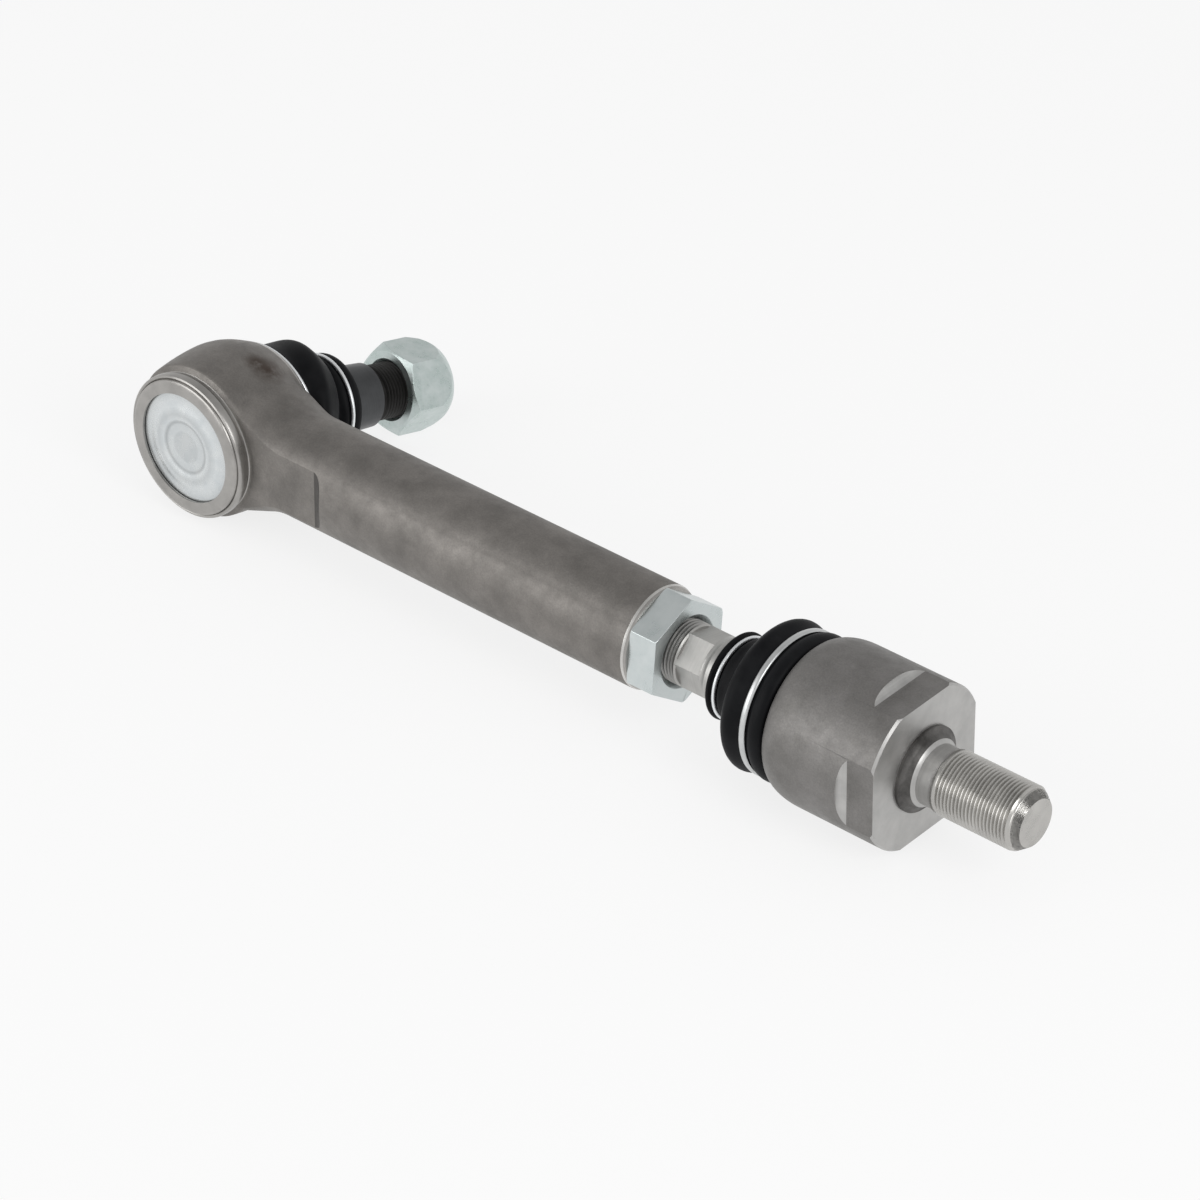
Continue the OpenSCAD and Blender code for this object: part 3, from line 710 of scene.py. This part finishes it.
@dataclass
class EndCap:
    """The pressed cap that closes the head, with its raised ring round a flat middle."""

    face: float = -22.2
    radius: float = 23.2

    def build(self) -> Piece:
        """Returns the cap."""
        y, r = self.face, self.radius
        profile = [
            (0.4, y + 0.1), (6.2, y + 0.1), (6.6, y + 0.16), (7.0, y + 0.1), (9.0, y + 0.1),
            (9.6, y + 0.06), (10.2, y - 0.06), (10.9, y - 0.26), (11.6, y - 0.48), (12.3, y - 0.68),
            (12.9, y - 0.79), (13.5, y - 0.82), (14.2, y - 0.77), (15.0, y - 0.63), (15.8, y - 0.44),
            (16.6, y - 0.23), (17.4, y - 0.02), (18.2, y + 0.15), (19.0, y + 0.26), (20.0, y + 0.31),
            (21.0, y + 0.28), (21.9, y + 0.22), (22.5, y + 0.4), (r, y + 1.2), (r, y + 2.0), (21.1, y + 2.0),
            (20.3, y + 2.6), (0.4, y + 2.6),
        ]
        piece = Bench.place(Bench.turn("pressed_cap", profile, 128), HEAD_LINE)
        # painted highlight and shade on the cap: lighter rings where its dish catches light, darker ones at
        # r 10.2 and in the rim's groove
        rings = (
            (0.0, 0.84), (6.0, 0.84), (6.8, 0.93), (9.2, 0.9), (10.2, 0.66), (11.4, 0.98), (13.6, 0.84),
            (16.4, 1.0), (19.0, 0.96), (21.4, 0.84), (22.3, 0.5), (r, 0.25),
        )
        plate = ZincPlate("cap_zinc_painted_light", (0.70, 0.725, 0.73), (0.62, 0.655, 0.67), 0.24, rings=rings)
        piece.data.materials.append(plate.material())
        Bench.smooth(piece, 50)
        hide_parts("end_cap")
        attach(piece, "rod")
        return piece


@dataclass
class Nut:
    """A zinc-plated nut, taken from its solid with its edges rounded."""

    node: str
    body: str
    tint: Colour
    colour: Colour
    turn: float = 0.0

    def build(self) -> Piece:
        """Returns the nut."""
        piece = Bench.copy_solid(self.node, self.node + "_plated")
        if self.turn:
            piece.data.transform(Matrix.Rotation(math.radians(self.turn), 4, "X"))
        Bench.soften(piece, 0.3, 18.0)
        Bench.coat(piece, ZincPlate(self.node + "_zinc", self.colour, self.tint, 0.3).material())
        Bench.level(Bench.smooth(piece, 30))
        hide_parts(self.node)
        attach(piece, self.body)
        return piece


@dataclass
class ThreadedPiece:
    """A turned piece whose plain threaded length gives way to a real thread."""

    node: str
    body: str
    slot: str
    line: Line
    thread: Thread
    cut_at: float
    keep_beyond: bool
    base: Material
    thread_finish: Material
    zone: Optional[Callable[[Face], int]] = None
    zone_finishes: Sequence[Material] = ()
    blank: Optional[Callable[[], Piece]] = None

    def build(self) -> Piece:
        """Returns the piece with its thread."""
        solid = self.blank() if self.blank else Bench.copy_solid(self.node, self.node + "_turned")
        away = Vector(self.line.direction) * (-1 if self.keep_beyond else 1)
        Bench.cut(solid, self.line.point(self.cut_at), away)
        Bench.soften(solid, 0.25, 28.0)
        Bench.coat(solid, self.base, *self.zone_finishes)
        for face in solid.data.polygons:
            face.material_index = self.zone(face) if self.zone else 0
        Bench.level(Bench.smooth(solid, 30))
        thread = self.thread.build(self.node + "_thread", self.line, self.cut_at)
        thread.data.materials.append(self.thread_finish)
        Bench.smooth(thread, 30)
        piece = Bench.join([solid, thread], self.node + "_threaded")
        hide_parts(self.node)
        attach(piece, self.body)
        return piece


@dataclass(frozen=True)
class Fold:
    """One ring of a boot that folds: its size, its place, and how far it has left the head's axis."""

    radius: float
    along: float
    offset: float = 0.0
    lean: float = 0.0
    floor: float = 20.35

    def point(self, x: float, y: float) -> Vector:
        """Returns where a point of the unit ring lies, kept behind the head's face, in metres."""
        turn = Vector((0, 0, 1)).rotation_difference(Vector(leaning(self.lean)))
        middle = Vector(leaning(self.offset)) * self.along
        place = middle + turn @ Vector((x * self.radius, y * self.radius, 0))
        place.y = max(place.y, self.floor)
        return place * MM


@dataclass
class Boot:
    """A rubber boot, built in two lengths."""

    joint: Joint
    line: Line
    split: float
    starts: tuple[float, float]
    bodies: tuple[str, str, str]
    node: str
    profile: Profile
    folds: Sequence[Fold] = ()
    segments: int = 128

    def fold(self, piece: Piece) -> None:
        """Moves the rings of the turned sleeve, which lie in order, to the places of the folds."""
        for index, fold in enumerate(self.folds):
            for vertex in piece.data.vertices[index * self.segments:(index + 1) * self.segments]:
                size = math.hypot(vertex.co.x, vertex.co.y)
                vertex.co = fold.point(vertex.co.x / size, vertex.co.y / size)

    def sleeve(self, name: str) -> Piece:
        """Returns the whole boot on its axis, rounded."""
        profile = [(fold.radius, fold.along) for fold in self.folds] or self.profile
        whole = Bench.turn(name, profile, self.segments, closed=True)
        if self.folds:
            self.fold(whole)
        else:
            Bench.place(whole, self.line)
        rounder = whole.modifiers.new("round", "SUBSURF")
        rounder.levels = rounder.render_levels = 1
        Bench.pick(whole)
        bpy.ops.object.modifier_apply(modifier=rounder.name)
        with Bench.editing(whole):
            Bench.face_outwards()
        return whole

    def build(self, finish: Material) -> list[Piece]:
        """Builds the boot and splits it across into two lengths.

        Args:
            finish: the rubber.

        Returns:
            The two lengths.
        """
        name = f"{self.joint.value}_boot"
        near = self.sleeve(name + "_near_end")
        near.data.materials.append(finish)
        here, way = self.line.point(self.split), Vector(self.line.direction)
        Bench.pick(near)
        bpy.ops.object.duplicate()
        far = bpy.context.object
        far.name = far.data.name = name + "_far_end"
        for piece, outward in ((near, way), (far, -way)):
            Bench.cut(piece, here, outward)
            Bench.smooth(piece, 60)
            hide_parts(self.node)
        first, second = (tuple(self.line.point(along)) for along in self.starts)
        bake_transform(near)
        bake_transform(far)
        return [near, far]


@dataclass
class OuterJoint:
    """Stud, nut and boot of the ball joint in the rod's head."""

    thread_radius: float = 11.0
    pitch: float = 1.5
    thread_start: float = 67.8
    stud_end: float = 98.2
    inside_floor: float = 22.6

    def folds(self) -> list[Fold]:
        """Returns the boot's rings in order: up its outside, round its collar and down its inside."""
        outside = (
            (22.2, 20.35), (23.8, 20.35), (24.1, 20.8), (24.0, 21.6, 0.05, 0.3),
            (23.5, 22.6, 0.15, 0.7), (23.9, 23.5, 0.35, 1.2), (25.1, 24.4, 0.55, 1.6),
            (26.3, 25.4, 0.75, 1.85), (27.1, 26.6, 0.87, 2.0), (27.3, 27.9, 0.93, 2.0),
            (27.1, 29.2, 0.97, 2.0), (26.4, 30.6, 1.02, 2.0), (25.4, 32.2, 1.065, 2.0),
            (24.2, 34.0, 1.11, 2.0), (22.9, 35.8, 1.16, 2.0), (21.5, 37.3, 1.19, 2.0),
            (19.9, 38.2, 1.17, 1.85), (18.3, 38.4, 1.09, 1.55), (17.1, 38.4, 1.02, 1.25),
        )
        collar = (
            (16.8, 39.3), (17.9, 40.5), (18.9, 41.5), (19.3, 42.3), (19.3, 43.0), (18.7, 43.6),
            (18.25, 44.0), (18.25, 45.5), (18.8, 45.9), (19.4, 46.4), (19.6, 47.5), (19.4, 48.8),
            (18.7, 49.8), (17.2, 50.3), (15.0, 50.5), (13.8, 50.4), (13.75, 48.0), (13.75, 41.0),
        )
        inside = (
            (15.4, 36.4, 1.04, 1.5), (18.0, 35.8, 1.1, 1.9), (20.6, 34.2, 1.1, 2.0),
            (23.0, 31.6, 1.04, 2.0), (24.5, 29.2, 0.97, 2.0), (24.4, 27.2, 0.87, 2.0),
            (23.0, 25.2, 0.6, 1.5), (22.2, 24.0, 0.1, 0.4),
        )
        base = ((22.2, 22.5), (21.5, 22.1), (21.5, 21.5), (22.2, 21.0))
        return [
            *(Fold(*ring) for ring in outside),
            *(Fold(*ring, 1.0, 1.0) for ring in collar),
            Fold(13.75, 37.4, 1.0, 1.15),
            *(Fold(*ring, self.inside_floor) for ring in inside),
            *(Fold(*ring) for ring in base),
        ]

    def build(self, rubber: Material) -> list[Piece]:
        """Returns the pieces of the outer joint that are modelled here."""
        dark = TurnedSteel("taper_steel", (0.075, 0.077, 0.080), rough=0.36, axis=1, strength=0.15)
        black = TurnedSteel("stud_thread", (0.040, 0.039, 0.038), rough=0.42, axis=1, strength=0.05)
        stud = ThreadedPiece(
            "ball_stud", "ball_stud", "dark_steel", STUD_LINE,
            Thread(
                self.thread_radius, self.pitch, self.thread_start, self.stud_end, 1.2, 1.6, tip_radius=9.5
            ),
            cut_at=self.thread_start + 0.1, keep_beyond=False,
            base=dark.material(), thread_finish=black.material(),
        ).build()
        nut = Nut("stud_nut", "stud_nut", (0.46, 0.54, 0.52), (0.60, 0.66, 0.65)).build()
        boot = Boot(
            Joint.OUTER, STUD_LINE, split=30.5, starts=(22.6, 38.0),
            bodies=("rod", "outer_boot_body", "outer_boot_collar"), node="outer_boot",
            profile=[], folds=self.folds(),
        ).build(rubber)
        return [stud, nut, BootWire().build(), *boot]


def ring_wire() -> Material:
    """Returns the bright wire of the boots' rings, made once."""
    return bpy.data.materials.get("ring_wire") or TurnedSteel(
        "ring_wire", (0.80, 0.82, 0.82), rough=0.24, marks=900.0, strength=0.04, metallic=0.75,
        variation=0.05,
    ).material()


@dataclass
class BootWire:
    """The wire that clamps the outer boot's base behind the head."""

    behind: float = 21.1
    radius: float = 24.75
    wire: float = 0.8

    def build(self) -> Piece:
        """Returns the wire ring."""
        around = [math.radians(30 * k) for k in range(12)]
        profile = [
            (self.radius + self.wire * math.cos(a), self.behind + self.wire * math.sin(a)) for a in around
        ]
        piece = Bench.place(Bench.turn("outer_boot_wire", profile, 160, closed=True), HEAD_LINE)
        piece.data.materials.append(ring_wire())
        Bench.smooth(piece, 60)
        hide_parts("outer_boot_large_ring")
        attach(piece, "rod")
        return piece


@dataclass
class ClampBand:
    """The rounded band that clamps the axial boot's large end."""

    middle: float = 275.2
    inner: float = 26.65
    width: float = 2.5
    thickness: float = 0.9

    def build(self) -> Piece:
        """Returns the band."""
        half, crown = self.width / 2, self.inner + self.thickness
        side = [
            (self.inner, half - 0.2), (self.inner + 0.3, half), (crown - 0.3, half - 0.15),
            (crown - 0.08, half - 0.45), (crown, half * 0.4),
        ]
        profile = [(r, self.middle + x) for r, x in side]
        profile += [(r, self.middle - x) for r, x in reversed(side)]
        piece = Bench.place(Bench.turn("axial_boot_clamp_band", profile, 160, closed=True), ROD_LINE)
        plate = ZincPlate("band_zinc", (0.60, 0.61, 0.61), (0.52, 0.53, 0.53), 0.34)
        piece.data.materials.append(plate.material())
        Bench.smooth(piece, 60)
        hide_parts("axial_boot_large_ring")
        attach(piece, "axial_boot_cuff")
        return piece


@dataclass
class AxialJoint:
    """Shank, lock nut, housing and boot of the axial ball joint."""

    thread_radius: float = 12.0
    pitch: float = 1.5
    shank_start: float = 154.8
    hex_start: float = 231.4
    face: float = 333.0
    relief_cut: float = 344.4
    male_end: float = 380.1
    relief_radius: float = 11.2
    body_radius: float = 30.8
    shoulder_start: float = 305.0
    shoulder_length: float = 11.9
    mouth: float = 284.0
    mouth_radius: float = 25.9
    foot_radius: float = 16.0
    foot_round: float = 3.0
    foot_height: float = 4.0
    across_flats: float = 55.0
    flats_start: float = 320.0
    flats_turn: float = 3.0
    nose_radius: float = 4.2
    nose_lead: float = 0.8
    cutter: tuple[float, float, float] = (30.0, 20.0, 80.0)
    zone_slack: float = 0.2
    face_edge: float = 0.8
    runout: tuple[float, float] = (-1.5, 4.5)
    runout_slope: float = 0.3

    def housing_outline(self) -> Profile:
        """Returns the housing's turned outline, from the thread's relief to the floor of its cavity."""
        top, body, mouth = self.face + self.foot_height, self.body_radius, self.mouth_radius
        relief, round_foot = self.relief_radius, self.foot_round
        foot = [math.radians(205 + 6.5 * k) for k in range(11)]
        quarter = [math.radians(9 * k) for k in range(11)]
        return [
            (self.thread_radius, top + 8), (relief, top + 6), (relief, top + 1), (12.6, top),
            *((self.foot_radius + round_foot * math.cos(a), top + round_foot * math.sin(a)) for a in foot),
            (self.foot_radius, self.face), (body - 0.7, self.face), (body, self.face - 1),
            (body, self.shoulder_start),
            *((
                mouth + (body - mouth) * math.cos(a), self.mouth + self.shoulder_length * (1 - math.sin(a))
            ) for a in quarter),
            (24.0, self.mouth), (24.0, 278.5), (23.0, 278.0), (23.0, 275.0), (24.0, 274.5),
            (24.0, 272.1), (23.4, 271.5), (18.9, 271.5), (18.9, 278.8), (21.5, 278.8), (21.5, 317.0),
        ]

    def housing_blank(self) -> Piece:
        """Returns the turned housing with four flats, milled by a cutter with a rounded nose."""
        piece = Bench.turn("axial_housing_turned", self.housing_outline(), 192)
        start, nose, wall = self.flats_start - self.nose_lead, self.nose_radius, self.across_flats / 2
        length, depth, width = self.cutter
        arc = [math.radians(10 * k) for k in range(10)]
        section = [
            *((wall + nose * (1 - math.cos(a)), start + nose * (1 - math.sin(a))) for a in reversed(arc)),
            (wall, start + length), (wall + depth, start + length), (wall + depth, start),
        ]
        corners = [(x * MM, -width / 2 * MM, z * MM) for x, z in section]
        for side in range(4):
            Bench.clear()
            bpy.ops.mesh.primitive_plane_add(size=1.0)
            cutter = bpy.context.object
            cutter.data.clear_geometry()
            cutter.data.from_pydata(corners, [], [range(len(corners))])
            with Bench.editing(cutter):
                bpy.ops.mesh.extrude_region_move(TRANSFORM_OT_translate={"value": (0, width * MM, 0)})
                Bench.face_outwards()
            turn = math.radians(self.flats_turn + 90 * side)
            cutter.data.transform(Matrix.Rotation(turn, 4, "Z"))
            Bench.subtract(piece, cutter)
        return Bench.place(piece, ROD_LINE)

    def housing_zone(self, face: Face) -> int:
        """Returns 1 for the housing's machined faces, 2 for the dark foot round the thread, 0 elsewhere."""
        x, y, z = face.center / MM
        foot_end = self.face + self.foot_height + self.zone_slack / 2
        on_foot = self.face + self.zone_slack < x < foot_end
        if on_foot and math.hypot(y, z) < self.foot_radius + self.zone_slack:
            return 2
        if x > self.face - self.face_edge:
            return 1
        at_runout = self.runout[0] < x - self.flats_start < self.runout[1]
        return 1 if at_runout and face.normal.x > self.runout_slope else 0

    def boot_outline(self) -> Profile:
        """Returns the boot's section: along its outside to the cuff, and back along its inside."""
        return [
            (10.2, 249.1), (14.9, 249.1), (16.1, 249.4), (16.6, 250.2), (16.4, 251.0), (15.3, 251.5),
            (14.2, 251.9), (14.2, 253.3), (15.1, 253.8), (15.8, 254.7), (15.7, 256.2), (15.9, 257.9),
            (17.0, 259.7), (19.4, 261.3), (22.0, 262.7), (24.6, 264.0), (26.8, 265.4), (28.1, 266.9),
            (28.5, 268.5), (28.2, 270.0), (27.5, 271.3), (26.9, 272.4), (26.35, 273.2), (26.3, 277.2),
            (27.1, 277.7), (27.8, 278.7), (27.95, 280.3), (27.7, 281.7), (27.0, 282.9), (26.0, 283.6),
            (24.35, 283.7), (24.35, 278.1), (23.35, 277.7), (23.35, 275.3), (24.35, 274.9),
            (24.35, 271.4), (25.6, 269.6), (25.9, 268.0), (25.4, 266.6), (23.0, 265.3), (19.6, 263.2),
            (18.0, 261.6), (15.3, 259.8), (13.2, 257.8), (10.9, 256.2), (9.85, 254.0), (9.85, 250.0),
        ]

    def build(self, rubber: Material) -> list[Piece]:
        """Returns the pieces of the axial joint that are modelled here."""
        bright = TurnedSteel("shank_steel", (0.44, 0.435, 0.42), rough=0.42, axis=0, strength=0.15)
        shank_thread = TurnedSteel("shank_thread", (0.34, 0.335, 0.325), rough=0.34, axis=0, strength=0.04)
        male_thread = TurnedSteel("male_thread", (0.47, 0.46, 0.44), rough=0.27, axis=0, strength=0.04)
        face = TurnedSteel("housing_face", (0.46, 0.455, 0.445), rough=0.4, axis=0, strength=0.12)
        foot = ForgedSteel("housing_foot", (0.17, 0.165, 0.16), (0.05, 0.048, 0.046))
        shell = ForgedSteel("housing_steel", (0.235, 0.228, 0.222), (0.18, 0.175, 0.168), metallic=0.78)
        shank = ThreadedPiece(
            "axial_stud", "axial_stud", "bright_steel", ROD_LINE,
            Thread(self.thread_radius, self.pitch, self.shank_start, self.hex_start, 2.0, 0.9),
            cut_at=self.hex_start, keep_beyond=True,
            base=bright.material(), thread_finish=shank_thread.material(),
        ).build()
        housing = ThreadedPiece(
            "axial_housing", "axial_housing", "housing_steel", ROD_LINE,
            Thread(self.thread_radius, self.pitch, self.relief_cut, self.male_end, 1.2, 4.1, tip_radius=8.9),
            cut_at=self.relief_cut, keep_beyond=False,
            base=shell.material(), thread_finish=male_thread.material(), zone=self.housing_zone,
            zone_finishes=(face.material(), foot.material()), blank=self.housing_blank,
        ).build()
        nut = Nut("lock_nut", "lock_nut", (0.55, 0.60, 0.60), (0.62, 0.66, 0.66), turn=-4.0).build()
        boot = Boot(
            Joint.AXIAL, ROD_LINE, split=262.5, starts=(256.0, 274.0),
            bodies=("shank_slide", "axial_boot_body", "axial_boot_cuff"), node="axial_boot",
            profile=self.boot_outline(),
        ).build(rubber)
        return [shank, housing, nut, ClampBand().build(), *boot]


@dataclass
class CarriedNodes:
    """Solids of the frame that keep their shape and only get a finish."""

    def dress(self) -> None:
        """Gives each of these solids its finish."""
        wire = ring_wire()
        spring = TurnedSteel("spring_steel", (0.13, 0.14, 0.17), rough=0.35).material()
        ring = TurnedSteel("closing_ring", (0.42, 0.41, 0.40), rough=0.34).material()
        seat = Plastic("seat_plastic", (0.72, 0.69, 0.60)).material()
        nylon = Plastic("nylon", (0.78, 0.78, 0.74)).material()
        seal = MouldedRubber("seal_rubber").material()
        finishes = {
            "outer_boot_small_ring": wire,
            "axial_boot_small_ring": wire,
            "disc_spring": spring, "axial_disc_spring": spring, "axial_closing_ring": ring,
            "pressure_pad": seat, "bearing_shell": seat, "axial_front_seat": seat,
            "axial_rear_seat": seat, "stud_nut_insert": nylon, "cap_seal": seal,
        }
        for node, material in finishes.items():
            Bench.coat(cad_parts[node], material)
            log.info("%s: %s", node, material.name)


@dataclass
class Studio:
    """Pale floor, soft light and the photograph's camera.

    The floor's middle and radius, the lamps' places and sizes and their aim are in metres.
    """

    floor_drop: float = 32.05
    floor_middle: float = 0.2
    azimuth: float = 41.13
    elevation: float = 32.32
    roll: float = 1.13
    distance: float = 1795.3
    focal: float = 4786.7
    picture: float = 1200.0
    shift_right: float = -139.38
    shift_up: float = 65.42
    sky: float = 0.6
    zenith: float = 0.6
    fall_start: float = 0.15
    floor_radius: float = 6.0
    floor_glow: float = 0.8
    aim: tuple[float, float, float] = (0.17, 0.0, 0.0)

    def camera(self) -> None:
        """Adds the camera at the photograph's viewing angle."""
        a, e, r = (math.radians(v) for v in (self.azimuth, self.elevation, self.roll))
        back = Vector((math.sin(a) * math.cos(e), -math.cos(a) * math.cos(e), math.sin(e)))
        right = Vector((0, 0, 1)).cross(back).normalized()
        up = back.cross(right)
        right, up = right * math.cos(r) + up * math.sin(r), up * math.cos(r) - right * math.sin(r)
        place = back * self.distance - right * self.shift_right - up * self.shift_up
        data = bpy.data.cameras.new("view")
        data.sensor_width = 36.0
        data.lens = 36.0 * self.focal / self.picture
        data.clip_end = 20.0
        view = bpy.data.objects.new("view", data)
        bpy.context.scene.collection.objects.link(view)
        turn = Matrix((right, up, back)).transposed()
        view.matrix_world = Matrix.Translation(place * MM) @ turn.to_4x4()
        bpy.context.scene.camera = view

    def floor(self) -> None:
        """Adds the floor: white to the camera and to mirror rays, and it keeps the shadow."""
        Bench.clear()
        bpy.ops.mesh.primitive_circle_add(
            vertices=96, radius=self.floor_radius, fill_type="NGON",
            location=(self.floor_middle, 0, -self.floor_drop * MM),
        )
        floor = bpy.context.object
        floor.name = "floor"
        material = bpy.data.materials.new("floor")
        material.use_nodes = True
        tree = material.node_tree
        shader = tree.nodes["Principled BSDF"]
        feed(tree, shader.inputs["Base Color"], (0.93, 0.93, 0.93))
        feed(tree, shader.inputs["Roughness"], 0.9)
        feed(tree, shader.inputs["Specular IOR Level"], 0.1)
        path = add_node(tree, "LightPath", {}).outputs
        rays = {0: path["Is Camera Ray"], 1: path["Is Glossy Ray"]}
        seen = add_node(tree, "Math", rays, operation="MAXIMUM")
        share = add_node(tree, "Math", {0: seen.outputs[0], 1: self.floor_glow}, operation="MULTIPLY")
        glow = add_node(tree, "Emission", {"Strength": 1.0})
        mix = add_node(tree, "MixShader", {0: share.outputs[0], 1: shader.outputs[0], 2: glow.outputs[0]})
        feed(tree, tree.nodes["Material Output"].inputs["Surface"], mix.outputs[0])
        floor.data.materials.append(material)

    def light(self) -> None:
        """Adds the soft world light and two large lamps."""
        world = bpy.data.worlds.new("studio")
        bpy.context.scene.world = world
        world.use_nodes = True
        tree = world.node_tree
        plain = tree.nodes["Background"]
        feed(tree, plain.inputs["Color"], (1, 1, 1))
        feed(tree, plain.inputs["Strength"], self.sky)
        coords = add_node(tree, "TexCoord", {}).outputs["Generated"]
        fall = add_node(tree, "MapRange", {
            "Value": add_node(tree, "SeparateXYZ", {0: coords}).outputs["Z"],
            "From Min": self.fall_start, "From Max": 1.0, "To Min": 1.0, "To Max": self.zenith,
        })
        mirrored = add_node(tree, "Background", {"Strength": fall.outputs["Result"]})
        white = add_node(tree, "Background", {"Strength": 1.0})
        path = add_node(tree, "LightPath", {}).outputs
        lights = {0: path["Is Glossy Ray"], 1: plain.outputs[0], 2: mirrored.outputs[0]}
        lit = add_node(tree, "MixShader", lights)
        mix = add_node(tree, "MixShader", {0: path["Is Camera Ray"], 1: lit.outputs[0], 2: white.outputs[0]})
        feed(tree, tree.nodes["World Output"].inputs["Surface"], mix.outputs[0])
        for name, place, size, power in (
            ("front_left", (-0.6, -1.4, 0.52), (1.3, 0.9), 8.0),
            ("right", (1.5, -0.35, 0.9), (0.7, 0.7), 7.0),
        ):
            data = bpy.data.lights.new(name, "AREA")
            data.shape = "RECTANGLE"
            data.size, data.size_y = size
            data.energy = power
            lamp = bpy.data.objects.new(name, data)
            bpy.context.scene.collection.objects.link(lamp)
            lamp.location = place
            way = Vector(self.aim) - Vector(place)
            lamp.rotation_euler = way.to_track_quat("-Z", "Y").to_euler()


def main() -> None:
    """Builds the sub-assemblies in order and reports each piece."""
    logging.basicConfig(level=logging.INFO, format="%(message)s")
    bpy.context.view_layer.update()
    bpy.context.scene.view_settings.view_transform = "Standard"
    studio = Studio()
    studio.camera()
    studio.floor()
    studio.light()
    rubber = MouldedRubber().material()
    pieces = [ForgedRod().build(), EndCap().build()]
    pieces += OuterJoint().build(rubber)
    pieces += AxialJoint().build(rubber)
    CarriedNodes().dress()
    for piece in pieces:
        log.info("%s: %d faces", piece.name, len(piece.data.polygons))
    Bench.clear()


if __name__ == "__main__":
    main()
